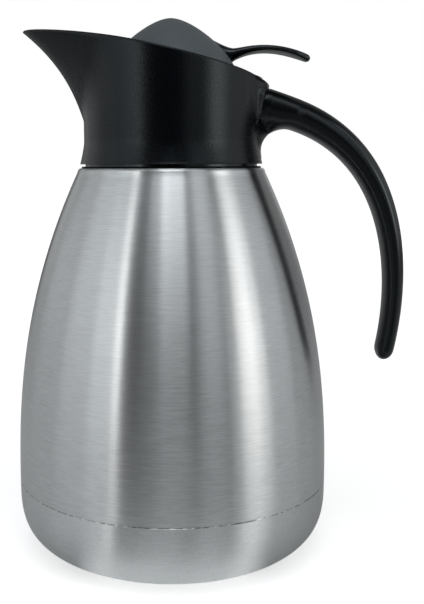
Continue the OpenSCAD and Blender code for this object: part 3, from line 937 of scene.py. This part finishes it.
@dataclass
class StandingPad:
    """The moulded disc in the recess under the cup."""

    levels: Levels
    edge: float = 0.6
    groove_r: float = 30.0
    groove_w: float = 1.2
    groove_h: float = 0.5
    boss_r: float = 6.0

    def build(self, palette: Palette) -> None:
        """Model the disc with its rounded rim, its groove and its middle dimple."""
        lv = self.levels
        top = box_mm("base_pad")[1].z
        e, g, w, h = self.edge, self.groove_r, self.groove_w, self.groove_h
        outline = [(0.0, h), (self.boss_r, h), (self.boss_r + h, 0.0), (g - w, 0.0), (g - w / 2, h)]
        outline += [(g + w / 2, h), (g + w, 0.0)]
        outline += round_corner((lv.pad_r - e, e), e, -90.0)
        outline += [(lv.pad_r, top), (0.0, top)]
        pad = turned("standing_pad", outline, 128)
        mount_piece(pad, BodyName.VESSEL, palette.rubber, ["base_pad"])


@dataclass
class NeckJoint:
    """The washer and the threaded ring between shoulder and collar."""

    levels: Levels
    flange_back: float = 0.4
    edge: float = 0.25

    def build(self, palette: Palette) -> None:
        """Model the washer and dress the ring and the seal."""
        low, high = box_mm("neck_gasket")
        e = self.edge
        outer = high.x
        inner = outer - 4.1
        outline = [(inner, low.z), (outer - e, low.z)] + round_corner((outer - e, low.z + e), e, -90.0)
        outline += round_corner((outer - e, high.z - e), e, 0.0) + [(inner, high.z), (inner, low.z)]
        washer = turned("neck_washer", outline, 128)
        mount_piece(washer, BodyName.VESSEL, palette.rubber, ["neck_gasket"])
        dress(frame["nodes"]["neck_ring"], palette.black)
        dress(frame["nodes"]["mouth_seal"], palette.silicone)


@dataclass
class HandleLine:
    """Centre curve and edges of the handle in the middle plane."""

    levels: Levels
    boss_out: float = 4.6
    skirt_out: float = 1.9
    root_h: float = 24.7
    grip_out: float = 61.8
    end_z: float = 85.6
    half_end: float = 3.95
    half_root: float = 3.3
    ease: float = 1.6
    start: float = 0.07
    head_r: float = field(init=False)
    boss_reach: float = field(init=False)
    root_z: float = field(init=False)

    def __post_init__(self) -> None:
        """Work out the root's place from the head's round wall."""
        self.head_r = self.levels.skirt_r - self.skirt_out
        self.boss_reach = self.head_r + self.boss_out
        self.root_z = self.levels.collar_z + self.root_h

    def middle(self) -> list[Vector]:
        """Give the control points of the centre curve."""
        boss, root, end = self.boss_reach, self.root_z, self.end_z
        reach = boss + self.grip_out
        return [
            Vector((boss - 0.6, root)),
            Vector((reach - 12.3, root - 10.1)),
            Vector((reach - 4.3, mix(root, end, 0.417))),
            Vector((reach + 0.2, mix(root, end, 0.686))),
            Vector((reach - 8.3, end)),
        ]

    def edge(self, share: float, side: int) -> Vector:
        """Give a point of the outer (1) or inner (-1) edge."""
        line = self.middle()
        along = (pulled(line, min(1.0, share + 0.01)) - pulled(line, share - 0.01)).normalized()
        half = self.half_end + self.half_root * (1 - share) ** self.ease
        return pulled(line, share) + side * half * Vector((-along.y, along.x))

    def top(self) -> list[Vector]:
        """Give the control points of the root's upper line."""
        boss, root = self.boss_reach, self.root_z
        return [Vector((boss + 0.5, root + 7.9)), Vector((boss + 8.3, root + 5.4)), self.edge(self.start, 1)]

    def under(self) -> list[Vector]:
        """Give the control points of the line that flares down the head's wall."""
        boss, root = self.boss_reach, self.root_z
        return [
            Vector((boss - 3.0, root - 22.0)),
            Vector((boss - 5.2, root - 11.4)),
            Vector((boss + 5.0, root - 8.4)),
            self.edge(self.start, -1),
        ]


@dataclass
class PouringHead:
    """Collar, bowl, spout and handle boss in one moulding."""

    levels: Levels
    line: HandleLine
    head_wall: float = 2.6
    skirt_out: float = 1.9
    skirt_h: float = 9.5
    skirt_power: float = 1.25
    spout_h: float = 18.6
    spout_slant: float = 0.5
    spout_power: float = 2.7
    tip_round: float = 6.0
    side_soft: float = 16.0
    keel_soft: float = 5.0
    rim_h: float = 46.0
    rim_slope: float = 0.232
    rim_dip: float = 0.0017
    rim_dip_x: float = -20.0
    boss_h: float = 33.1
    boss_lean: float = 14.3
    boss_edge: float = 17.0
    boss_fade: float = 27.0
    boss_hollow: float = 1.5
    boss_soft: float = 1.6
    bead_h: float = 1.35
    bead_at: float = 19.0
    bead_w: float = 1.8
    bead_low: float = 16.0
    bead_high: float = 1.5
    swell_w: float = 12.5
    swell_over: float = 0.0
    swell_fade: float = 6.0
    boss_round: float = 0.3
    boss_curve_r: float = 36.0
    rim_soft: float = 0.9
    skirt_edge: float = 0.15
    floor_round: float = 1.5
    bore_in: float = 1.5
    floor_w: float = 12.0
    floor_t: float = 3.9
    floor_z: float = field(init=False)
    head_r: float = field(init=False)
    spout_l: float = field(init=False)
    boss_reach: float = field(init=False)
    swell: list[Point] = field(init=False)
    spout_z: float = field(init=False)
    tip_z: float = field(init=False)
    boss_z: float = field(init=False)

    def __post_init__(self) -> None:
        """Work out what follows from the levels."""
        lv = self.levels
        self.head_r = lv.skirt_r - self.skirt_out
        self.floor_z = box_mm("hinge_bracket")[0].z
        self.boss_reach = self.line.boss_reach
        flare = [pulled(self.line.under(), u) for u in spread(0, 0.7, 60)]
        self.swell = [(p.y, p.x) for p in flare if p.x < self.boss_reach]
        self.spout_z = lv.collar_z + self.spout_h
        self.boss_z = lv.collar_z + self.boss_h
        self.spout_l = lv.spout_tip
        for _ in range(8):
            self.tip_z = self.rim_at(-self.spout_l)
            self.spout_l += lv.spout_tip - self.outer_r(0.0, self.rim_z(0.0) - self.rim_soft)

    def skirt_at(self, z: float) -> float:
        """Give the round wall's radius at a height, with its flared skirt."""
        share = max(0.0, 1 - (z - self.levels.collar_z) / self.skirt_h)
        return self.head_r + self.skirt_out * share ** self.skirt_power

    def rim_at(self, x: float) -> float:
        """Give the rim's height over a place along the middle plane."""
        bent = min(0.0, x - self.rim_dip_x)
        return self.levels.collar_z + self.rim_h - self.rim_slope * x - self.rim_dip * bent * bent

    def reach_at(self, z: float) -> float:
        """Give the spout's reach at a height."""
        share = max(0.0, z - self.spout_z) / (self.tip_z - self.spout_z)
        out = mix(share ** self.spout_power, share, self.spout_slant)
        return self.skirt_at(z) + (self.spout_l - self.head_r) * out

    def drop_r(self, angle: float, radius: float, reach: float) -> float:
        """Give the radius of a tear-drop outline: a circle with two tangents that meet.

        Args:
            angle: Angle from the spout in degrees.
            radius: Radius of the circle.
            reach: Distance of the point where the tangents meet.

        Returns:
            The outline's distance from the axis.
        """
        bend = math.degrees(math.acos(min(1.0, radius / reach))) + self.tip_round

        def softened(turn: float, window: float) -> float:
            """Average the sharp outline over a window of directions."""
            total = 0.0
            for step in (-1.0, -0.6, -0.2, 0.2, 0.6, 1.0):
                soft = math.hypot(turn + step * window, self.tip_round)
                total += radius if soft >= bend else radius / math.cos(math.radians(bend - soft))
            return total / 6

        window = mix(self.side_soft, self.keel_soft, eased((abs(angle) - 4) / 30))
        lost = softened(0.0, 0.0) / softened(0.0, self.keel_soft) - 1
        return softened(angle, window) * (1 + lost * eased(abs(angle) / 34))

    def boss_x(self, z: float) -> float:
        """Give the boss's reach at a height."""
        low = (min(z, self.boss_z) - self.boss_z) * math.tan(math.radians(self.boss_lean))
        return self.boss_reach + low - self.boss_round * max(0.0, z - self.boss_z) ** 2

    def boss_face(self, angle: float, z: float) -> float:
        """Give the distance of the boss's curved face in a direction from the back."""
        side = self.boss_x(z) * math.tan(math.radians(angle))
        return (self.boss_x(z) - side * side / (2 * self.boss_curve_r)) / math.cos(math.radians(angle))

    def boss_r(self, angle: float, z: float) -> float:
        """Give the boss's distance from the axis with its rounded corner."""
        steps = (-1.0, -0.5, 0.0, 0.5, 1.0)
        smooth = sum(self.sharp_boss_r(abs(angle + s * self.boss_soft), z) for s in steps) / len(steps)
        ends = eased((self.boss_z - self.bead_low + 3 - z) / 3) * eased((z - self.boss_z + self.bead_high + 2) / 2)
        return smooth + self.bead_h * math.exp(-(((angle - self.bead_at) / self.bead_w) ** 2)) * ends

    def sharp_boss_r(self, angle: float, z: float) -> float:
        """Give the boss's distance from the axis, faded into the round wall."""
        if angle <= self.boss_edge:
            return self.boss_face(angle, z)
        share = min(1.0, (angle - self.boss_edge) / (self.boss_fade - self.boss_edge))
        return mix(self.head_r, self.boss_face(self.boss_edge, z), (1 - share) ** self.boss_hollow)

    def swell_r(self, angle: float, z: float) -> float:
        """Give the wall's distance from the axis where it swells to meet the handle's underside."""
        wall = self.skirt_at(z)
        heights = [height for height, _ in self.swell]
        if z <= heights[0] or angle > 40:
            return wall
        reach = self.swell[-1][1]
        for (low, x_low), (high, x_high) in zip(self.swell, self.swell[1:]):
            if low <= z < high:
                reach = mix(x_low, x_high, (z - low) / (high - low))
                break
        fading = eased((z - heights[-1] - 1) / self.swell_fade)
        across = eased(wall * math.sin(math.radians(angle)) / self.swell_w)
        return wall + max(0.0, reach + self.swell_over - wall) * across * fading

    def outer_r(self, angle: float, z: float) -> float:
        """Give the outer wall's distance from the axis."""
        drop = self.drop_r(angle, self.skirt_at(z), self.reach_at(z))
        back = 180 - abs(angle)
        return max(drop, self.boss_r(back, z), self.swell_r(back, z))

    def inner_r(self, angle: float, z: float) -> float:
        """Give the bowl wall's distance from the axis."""
        bowl = self.head_r - self.head_wall
        return self.drop_r(angle, bowl, self.reach_at(max(z, self.spout_z)) * bowl / self.head_r)

    def rim_z(self, angle: float) -> float:
        """Give the rim's height in a direction, by stepping towards the bent plane."""
        z = self.levels.collar_z + self.rim_h
        for _ in range(16):
            z = self.rim_at(-self.outer_r(angle, z) * math.cos(math.radians(angle)))
        return z

    def turns(self) -> list[float]:
        """Give the columns' directions, closer together at the tip and the boss."""
        half = spread(0, 48, 20) + spread(48, 152, 24)[1:] + spread(152, 164, 16)[1:] + spread(164, 180, 8)[1:]
        return half + [-a for a in reversed(half[1:-1])]

    def column(self, angle: float) -> list[Point]:
        """Give one column's points: up the outside, over the rim, down the bowl and the bore."""
        lv = self.levels
        top = self.rim_z(angle)
        brow = top - self.rim_soft
        low = self.floor_z + self.floor_round
        well_r = self.head_r - self.head_wall - self.floor_w
        bore_top = self.floor_z - self.floor_t
        bore_r = self.head_r - self.bore_in
        skirt = self.outer_r(angle, lv.collar_z)
        e = self.skirt_edge
        outer = round_corner((skirt - e, lv.collar_z + e), e, -90.0)[:-1]
        outer += [(self.outer_r(angle, z), z) for z in spread(lv.collar_z + e, brow, 40)]
        a, b = self.outer_r(angle, brow), self.inner_r(angle, brow)
        bow = []
        for step in range(1, 10):
            t = math.pi * step / 10
            across = 0.5 - 0.5 * math.cos(t)
            bow.append((mix(a, b, across), brow + self.rim_soft * signed_power(math.sin(t), 0.7)))
        inner = [(self.inner_r(angle, z), z) for z in spread(brow, low, 22)]
        edge = self.inner_r(angle, low)
        fillet = [
            (edge - self.floor_round * (1 - math.cos(t)), low - self.floor_round * math.sin(t))
            for t in (math.radians(d) for d in (22.5, 45, 67.5, 90))
        ]
        rest = [(well_r, self.floor_z), (well_r, bore_top), (bore_r, bore_top), (bore_r, lv.collar_z + 0.3)]
        return outer + bow + inner + fillet + rest

    def outside_rings(self, grow: float, top_z: float) -> list[Ring]:
        """Give capped rings of the outer wall, grown a little, for cutting its neighbour.

        Args:
            grow: How far the rings stand outside the wall.
            top_z: Height where the rings end.

        Returns:
            The rings, from the skirt upwards.
        """
        return [
            [self.at(a, self.outer_r(a, z) + grow, z) for a in self.turns()]
            for z in spread(self.levels.collar_z + 0.5, top_z, 30)
        ]

    @staticmethod
    def at(angle: float, radius: float, z: float) -> Vector:
        """Give the point at an angle from the spout."""
        a = math.radians(angle)
        return Vector((-radius * math.cos(a), radius * math.sin(a), z))

    def build(self, palette: Palette) -> None:
        """Model the moulding."""
        turns = self.turns()
        columns = [self.column(a) for a in turns]
        rings = [
            [self.at(a, *column[row]) for a, column in zip(turns, columns)]
            for row in range(len(columns[0]))
        ]
        head = lofted("pouring_bowl", rings, Ends.LOOPED, 40.0)
        mount_piece(head, BodyName.VESSEL, palette.head, ["pouring_head"])
        for node in ("throat_insert",):
            dress(frame["nodes"][node], palette.head)
        dress(frame["nodes"]["hinge_bracket"], palette.inner_steel)
        for node in ("bracket_screws", "hinge_pin", "return_spring", "handle_screws"):
            dress(frame["nodes"][node], palette.hardware)


@dataclass
class Grip:
    """The open-ended handle behind the head."""

    levels: Levels
    line: HandleLine
    head: PouringHead
    width_root: float = 21.0
    width_end: float = 16.0
    power: float = 2 / 2.2
    flare_w: float = 0.3
    flare_end: float = 0.95
    keel_w: float = 0.35
    keel_blend: float = 6.0
    tuck: float = 1.2
    tuck_end: float = 0.55
    end_share: float = 0.04
    sides: int = 56

    def section(self, share: float, scale: float) -> Ring:
        """Give one oval section of the handle."""
        half_width = mix(self.width_root, self.width_end, share) / 2
        return oval(self.line.edge(share, 1), self.line.edge(share, -1), half_width, scale, self.sides, self.power)

    def root_section(self, top: Vector, bottom: Vector, half_width: float) -> Ring:
        """Give a section of the root, whose lower part narrows to a keel where it is tall.

        Args:
            top: Upper point in the middle plane (x, z).
            bottom: Lower point in the middle plane (x, z).
            half_width: Half of the section's width.

        Returns:
            The section's points.
        """
        plain = (self.line.edge(self.line.start, 1) - self.line.edge(self.line.start, -1)).length
        tall = (top - bottom).length
        amount = min(1.0, max(0.0, tall - plain) / self.keel_blend)
        middle = mix(top, bottom, min(plain, tall) / (2 * tall))
        ring = []
        for k in range(self.sides):
            angle = 2 * math.pi * k / self.sides
            up = signed_power(math.cos(angle), self.power)
            point = middle + (top - middle) * up if up > 0 else middle - (bottom - middle) * up
            share = amount * (1 - eased(((point - top).length - 0.75 * plain) / (0.7 * plain)))
            across = half_width * signed_power(math.sin(angle), self.power) * mix(1.0, self.keel_w, share)
            ring.append(Vector((point.x, across, point.y)))
        return ring

    def rings(self) -> list[Ring]:
        """Give all sections, from inside the head's wall to the rounded end."""
        inside = self.line.head_r - 3.0
        top, under = self.line.top(), self.line.under()
        half = self.width_root / 2
        rings = [
            self.root_section(
                Vector((inside, top[0].y + 0.6)), Vector((inside, under[0].y - 1)), half + self.flare_w
            )
        ]
        for u in spread(0, self.flare_end, 24):
            width = half + self.flare_w * (1 - u) ** 2
            hidden = Vector((self.tuck * max(0.0, 1 - u / self.tuck_end), 0))
            rings.append(self.root_section(pulled(top, u), pulled(under, u) - hidden, width))
        rings += [self.section(s, 1.0) for s in spread(self.line.start, 1 - self.end_share, 60)]
        for step in range(1, 10):
            a = math.radians(86 * step / 9)
            rings.append(self.section(1 - self.end_share + self.end_share * math.sin(a), math.cos(a)))
        return rings

    def build(self, palette: Palette) -> None:
        """Model the handle and cut its root to the head's wall."""
        grip = lofted("grip", self.rings(), Ends.CAPPED)
        cutter = lofted("grip_cutter", self.head.outside_rings(0.12, self.levels.collar_z + 38), Ends.CAPPED)
        cut_away(grip, [cutter])
        mount_piece(grip, BodyName.VESSEL, palette.black, ["handle"])


@dataclass
class FlipLid:
    """The domed lid with its thumb lever, and the parts that hang under it."""

    levels: Levels
    dome_power: float = 1.64
    dome_brim: float = 0.15
    brim_power: float = 12.0
    dome_t: float = 2.0
    lever_drop: float = 13.1
    lever_t: float = 3.2
    root_width: float = 12.6
    paddle_width: float = 15.0
    lever_out: float = 32.0
    nose: float = 2.0
    power: float = 2 / 2.2

    def dome_line(self, inset: float, steps: int) -> list[Point]:
        """Give the dome's outline from the top to the edge.

        Args:
            inset: Distance inside the outer face.
            steps: Steps of the outline.

        Returns:
            Radius and height of each point.
        """
        lv = self.levels
        height = 23.8 - inset
        line = []
        for i in range(steps + 1):
            u = i / steps
            fall = mix(u ** self.dome_power, u ** self.brim_power, self.dome_brim)
            line.append(((lv.dome_r - inset) * u, lv.dome_top - inset - height * fall))
        return line

    def dome(self) -> bpy.types.Object:
        """Model the dome as a turned shell with a rounded edge."""
        lv = self.levels
        soft = 0.35
        outside = self.dome_line(0.0, 56)
        inside = self.dome_line(self.dome_t, 24)
        outline = outside + round_corner((lv.dome_r - soft, lv.dome_low + soft), soft, 0.0, -3)
        outline += [(lv.dome_r - self.dome_t, lv.dome_low)] + list(reversed(inside))
        return turned("lid_cap", outline, 160)

    def lever_rings(self) -> list[Ring]:
        """Give the lever's oval sections, from inside the dome to the rounded nose."""
        r = self.levels.dome_r
        reach = r + self.lever_out
        h = self.levels.dome_top - self.lever_drop
        pull = 1.9 - self.lever_t / 2
        root = [Vector((r - 11.7, h + 4.2)), Vector((r - 5.4, h + 1 - pull)), Vector((r - 2.4, h + 0.5 - pull))]
        crest = [
            Vector((r - 2.4, h + 0.5 - pull)),
            Vector((r + 1.3, h + 0.1 - pull)),
            Vector((reach - 20.1, h + 5 - pull)),
            Vector((reach - 1.6, h - 2 - pull)),
        ]
        under = [
            Vector((reach - 2.6, h - 5.8 + pull)),
            Vector((reach - 20.4, h + 1.3 + pull)),
            Vector((r - 1, h - 5.1 + pull)),
        ]
        seed = Vector((r - 7, h - 9))
        sides = 36
        rings = []
        for i in range(10):
            u = i / 10
            rings.append(oval(pulled(root, u), mix(seed, under[2], u), self.root_width / 2, 1, sides, self.power))
        for u in spread(0, 1, 40):
            rings.append(oval(pulled(crest, u), pulled(under, 1 - u), self.half_width(u), 1, sides, self.power))
        along = (crest[3] - crest[2]).normalized()
        for a in (math.radians(d) for d in (12, 24, 36, 48, 60, 72, 82)):
            shift = along * self.nose * math.sin(a)
            rings.append(oval(crest[3] + shift, under[0] + shift, self.half_width(1.0), math.cos(a), sides, self.power))
        return rings

    def half_width(self, share: float) -> float:
        """Give half of the lever's width, rounded off at the paddle's end."""
        return mix(self.root_width, self.paddle_width, share) / 2 * (1 - share ** 9 * 0.8) ** 0.5

    def build(self, palette: Palette) -> None:
        """Model the dome and the lever and dress what hangs below."""
        dome = self.dome()
        mount_piece(dome, BodyName.LID, palette.dome, ["lid_dome"])
        lever = lofted("thumb_paddle", self.lever_rings(), Ends.CAPPED)
        low = [(self.levels.dome_r, self.levels.dome_low), (0.0, self.levels.dome_low)]
        cutter = turned("lever_cutter", self.dome_line(-0.06, 56) + low, 128)
        cut_away(lever, [cutter])
        mount_piece(lever, BodyName.LID, palette.black, ["thumb_lever"])
        nodes = frame["nodes"]
        for node in ("lever_screws", "carrier_screws"):
            dress(nodes[node], palette.hardware)
        dress(nodes["lid_carrier"], palette.head)
        dress(nodes["lid_stopper"], palette.dome)
        dress(nodes["lid_gasket"], palette.silicone)


# Studio


@dataclass(frozen=True)
class SoftPanel:
    """An upright soft lamp that fills a span of directions round the carafe."""

    name: str
    start: float
    end: float
    foot: float
    head: float
    level: float
    distance: float = 1.6

    def build(self) -> None:
        """Add the lamp, upright and facing the carafe's axis."""
        azimuth = math.radians((self.start + self.end) / 2)
        low, high = (self.distance * math.tan(math.radians(e)) for e in (self.foot, self.head))
        wide = 2 * self.distance * math.tan(math.radians((self.end - self.start) / 2))
        away = Vector((math.sin(azimuth), -math.cos(azimuth), 0.0))
        place = away * self.distance + Vector((0, 0, SOFT_AIM + (low + high) / 2))
        add_lamp(self.name, place, -away, wide, high - low, self.level)


@dataclass(frozen=True)
class SoftTop:
    """A soft lamp that hangs over the front."""

    name: str
    azimuth: float
    elevation: float
    width: float
    height: float
    level: float
    distance: float = 1.4

    def build(self) -> None:
        """Add the lamp, aimed at the middle of the carafe."""
        a, e = math.radians(self.azimuth), math.radians(self.elevation)
        away = Vector((math.sin(a) * math.cos(e), -math.cos(a) * math.cos(e), math.sin(e)))
        place = away * self.distance + Vector((0, 0, SOFT_AIM))
        add_lamp(self.name, place, -away, self.width, self.height, self.level)


SOFT_AIM = 0.1
BOX_LEVEL = 2.4
BOX_TINT = (1.0, 0.975, 0.95)
WALL_TINT = (0.98, 1.0, 1.02)


def add_lamp(name: str, place: Vector, facing: Vector, width: float, height: float, level: float) -> None:
    """Add a rectangular lamp that the camera doesn't see.

    Args:
        name: Name of the lamp.
        place: Its middle, in metres.
        facing: Direction in which it shines.
        width: Its width in metres.
        height: Its height in metres.
        level: How bright it looks, where 1 is white.
    """
    lamp = bpy.data.lights.new(name, "AREA")
    lamp.shape = "RECTANGLE"
    lamp.size, lamp.size_y = width, height
    lamp.energy = level * math.pi * width * height
    lamp.color = BOX_TINT if level > BOX_LEVEL else WALL_TINT
    holder = bpy.data.objects.new(name, lamp)
    holder.location = place
    holder.rotation_euler = facing.to_track_quat("-Z", "Y").to_euler()
    holder.visible_camera = False
    bpy.context.scene.collection.objects.link(holder)


@dataclass
class Studio:
    """Pale floor, plain surroundings, soft lamps and the camera."""

    lights: tuple[SoftPanel | SoftTop, ...] = (
        SoftPanel("left back", -150, -125, 0, 22, 0.35),
        SoftPanel("left side low", -125, -90, 0, 22, 0.62),
        SoftPanel("left side high", -125, -90, 22, 52, 0.52),
        SoftPanel("left wall low", -90, -62, 0, 22, 0.98),
        SoftPanel("left wall high", -90, -62, 22, 52, 0.92),
        SoftPanel("left front low", -62, -43.5, 0, 22, 1.55),
        SoftPanel("left front high", -62, -45.5, 22, 52, 1.02),
        SoftPanel("left strip low", -43.5, -38.2, 0, 22, 4.2),
        SoftPanel("left strip high", -45.5, -40, 22, 48, 1.75),
        SoftPanel("right front low", 18.5, 38, 0, 22, 0.5),
        SoftPanel("right front high", 25, 50, 22, 48, 0.95),
        SoftPanel("right fade", 43, 50.5, 0, 22, 0.75),
        SoftPanel("right box edge", 50.5, 57.5, 0, 22, 3.2),
        SoftPanel("right box", 57.5, 66, 0, 22, 3.9),
        SoftPanel("right box back", 66, 74, 0, 22, 2.5),
        SoftPanel("right box high", 58, 76, 22, 48, 1.15),
        SoftPanel("right wall low", 74, 100, 0, 22, 0.82),
        SoftPanel("right wall high", 76, 100, 22, 48, 0.78),
        SoftPanel("right side", 100, 122, 0, 35, 0.38),
        SoftPanel("back", 150, 180, 0, 22, 0.24),
        SoftTop("top front", 2.5, 60, 0.47, 1.3, 2.1),
        SoftTop("top front edge", -17, 60, 0.34, 1.2, 1.0),
        SoftTop("top left", -42, 60, 0.5, 0.6, 0.8),
        SoftTop("top right", 38, 62, 0.5, 0.6, 1.2),
    )
    dark_level: float = 0.02
    back_level: float = 0.2
    floor_near: float = 0.6
    floor_far: float = 1.0
    # Painted tones that only reflections and bounced light see: a painted pool of light in front near the carafe,
    # painted shade at its sides, a darker floor far out in front, and a painted glow to glossy rays.
    painted_pool_start: float = 0.078
    painted_pool_end: float = 0.15
    painted_pool_tone: float = 0.85
    painted_far_tone: float = 0.28
    painted_side_shade: float = 0.5
    side_far: float = 0.8
    painted_glow_level: float = 0.32
    wedge_start: float = 0.65
    wedge_end: float = 1.0
    pale: Colour = (0.82, 0.82, 0.82)
    focal_px: float = 873.7
    frame_px: tuple[int, int] = (424, 604)
    axis_px: float = 171.8
    distance: float = 0.3954
    eye_height: float = 0.1751
    pitch: float = 9.0
    roll: float = -0.0037

    def floor(self) -> None:
        """Lay a pale floor that stays white to the eye but keeps the shadow, and give reflections painted light and
        shade on it.
        """
        clear_selection()
        bpy.ops.mesh.primitive_plane_add(size=16.0, location=(0, 0, 0))
        floor = bpy.context.object
        floor.name = "floor"
        material, sheet, place = new_sheet("pale floor")
        seen = sheet.add("ShaderNodeLightPath")
        away = sheet.add("ShaderNodeVectorMath", {0: place}, operation="LENGTH").outputs["Value"]
        # Painted pool of light and shade for reflections and bounced light: this share is 1 at the carafe and 0 further
        # out.
        painted_pool_share = sheet.ramp(away, self.painted_pool_start, self.painted_pool_end, 1.0, 0.0)
        spot = sheet.add("ShaderNodeSeparateXYZ", {0: place})
        ahead = sheet.maths("MAXIMUM", sheet.maths("MULTIPLY", spot.outputs[1], -1.0), 0.01 * MM)
        aside = sheet.maths("DIVIDE", sheet.maths("ABSOLUTE", spot.outputs[0]), ahead)
        beside = sheet.ramp(aside, self.wedge_start, self.wedge_end, 0.0, 1.0)
        # In front the floor is painted bright near the carafe and darker far out; at the sides it is painted darker
        # near the carafe, a painted shadow. The camera sees the even pale tone.
        front = sheet.ramp(painted_pool_share, 0.0, 1.0, self.painted_far_tone, self.painted_pool_tone)
        side = sheet.ramp(painted_pool_share, 0.0, 1.0, self.side_far, self.painted_side_shade)
        tone = sheet.add("ShaderNodeMix", {0: beside, 2: front, 3: side}).outputs[0]
        tone = sheet.blend(seen.outputs["Is Camera Ray"], tone, rgba(self.pale))
        matte = sheet.add("ShaderNodeBsdfDiffuse", {"Color": tone})
        far = sheet.ramp(away, 0.25, 1.4, self.floor_near, self.floor_far)
        to_eye = sheet.maths("MULTIPLY", seen.outputs["Is Camera Ray"], far)
        # Painted glow for glossy rays only, in front near the carafe, that brightens the steel's reflection of the
        # floor.
        painted_glow = sheet.maths("MULTIPLY", seen.outputs["Is Glossy Ray"], self.painted_glow_level)
        painted_glow = sheet.maths("MULTIPLY", painted_glow, sheet.maths("SUBTRACT", 1.0, beside))
        strength = sheet.maths("ADD", to_eye, sheet.maths("MULTIPLY", painted_glow, painted_pool_share))
        glow = sheet.add("ShaderNodeEmission", {"Color": (1, 1, 1, 1), "Strength": strength})
        both = sheet.add("ShaderNodeAddShader", {0: matte.outputs[0], 1: glow.outputs[0]})
        sheet.add("ShaderNodeOutputMaterial", {0: both.outputs[0]})
        dress(floor, material)

    def surroundings(self) -> None:
        """Set a plain world: white to the eye, dim all round, darker in front of the carafe."""
        world = bpy.data.worlds.new("studio")
        bpy.context.scene.world = world
        world.use_nodes = True
        sheet = NodeSheet(world.node_tree)
        toward = sheet.add("ShaderNodeTexCoord").outputs["Generated"]
        y = sheet.add("ShaderNodeSeparateXYZ", {0: toward}).outputs[1]
        level = sheet.ramp(y, -0.2, 0.7, self.dark_level, self.back_level)
        seen = sheet.add("ShaderNodeLightPath")
        strength = sheet.maths("MAXIMUM", level, seen.outputs["Is Camera Ray"])
        glow = sheet.add("ShaderNodeBackground", {"Color": (1, 1, 1, 1), "Strength": strength})
        sheet.add("ShaderNodeOutputWorld", {0: glow.outputs[0]})

    def camera(self) -> None:
        """Set the camera where the photograph was taken from."""
        data = bpy.data.cameras.new("eye")
        long_side = max(self.frame_px)
        data.sensor_width = 36.0
        data.lens = self.focal_px * data.sensor_width / long_side
        data.shift_x = (self.frame_px[0] / 2 - self.axis_px) / long_side
        data.clip_start, data.clip_end = 0.01, 50.0
        eye = bpy.data.objects.new("eye", data)
        look = Matrix.Rotation(math.radians(90.0 - self.pitch), 3, "X") @ Matrix.Rotation(self.roll, 3, "Z")
        eye.location = (0.0, -self.distance, self.eye_height)
        eye.rotation_euler = look.to_euler()
        bpy.context.scene.collection.objects.link(eye)
        bpy.context.scene.camera = eye

    def build(self) -> None:
        """Set up the whole studio."""
        bpy.context.scene.view_settings.view_transform = "Standard"
        self.floor()
        self.surroundings()
        for light in self.lights:
            light.build()
        self.camera()


def main() -> None:
    """Build the carafe's looks in order."""
    logging.basicConfig(level=logging.INFO, format="%(name)s: %(message)s")
    levels = Levels.from_frame()
    palette = Palette.build(levels.seam_z)
    SteelBody(levels).build(palette)
    StandingPad(levels).build(palette)
    NeckJoint(levels).build(palette)
    line = HandleLine(levels)
    head = PouringHead(levels, line)
    head.build(palette)
    Grip(levels, line, head).build(palette)
    FlipLid(levels).build(palette)
    Studio().build()


if __name__ == "__main__":
    main()
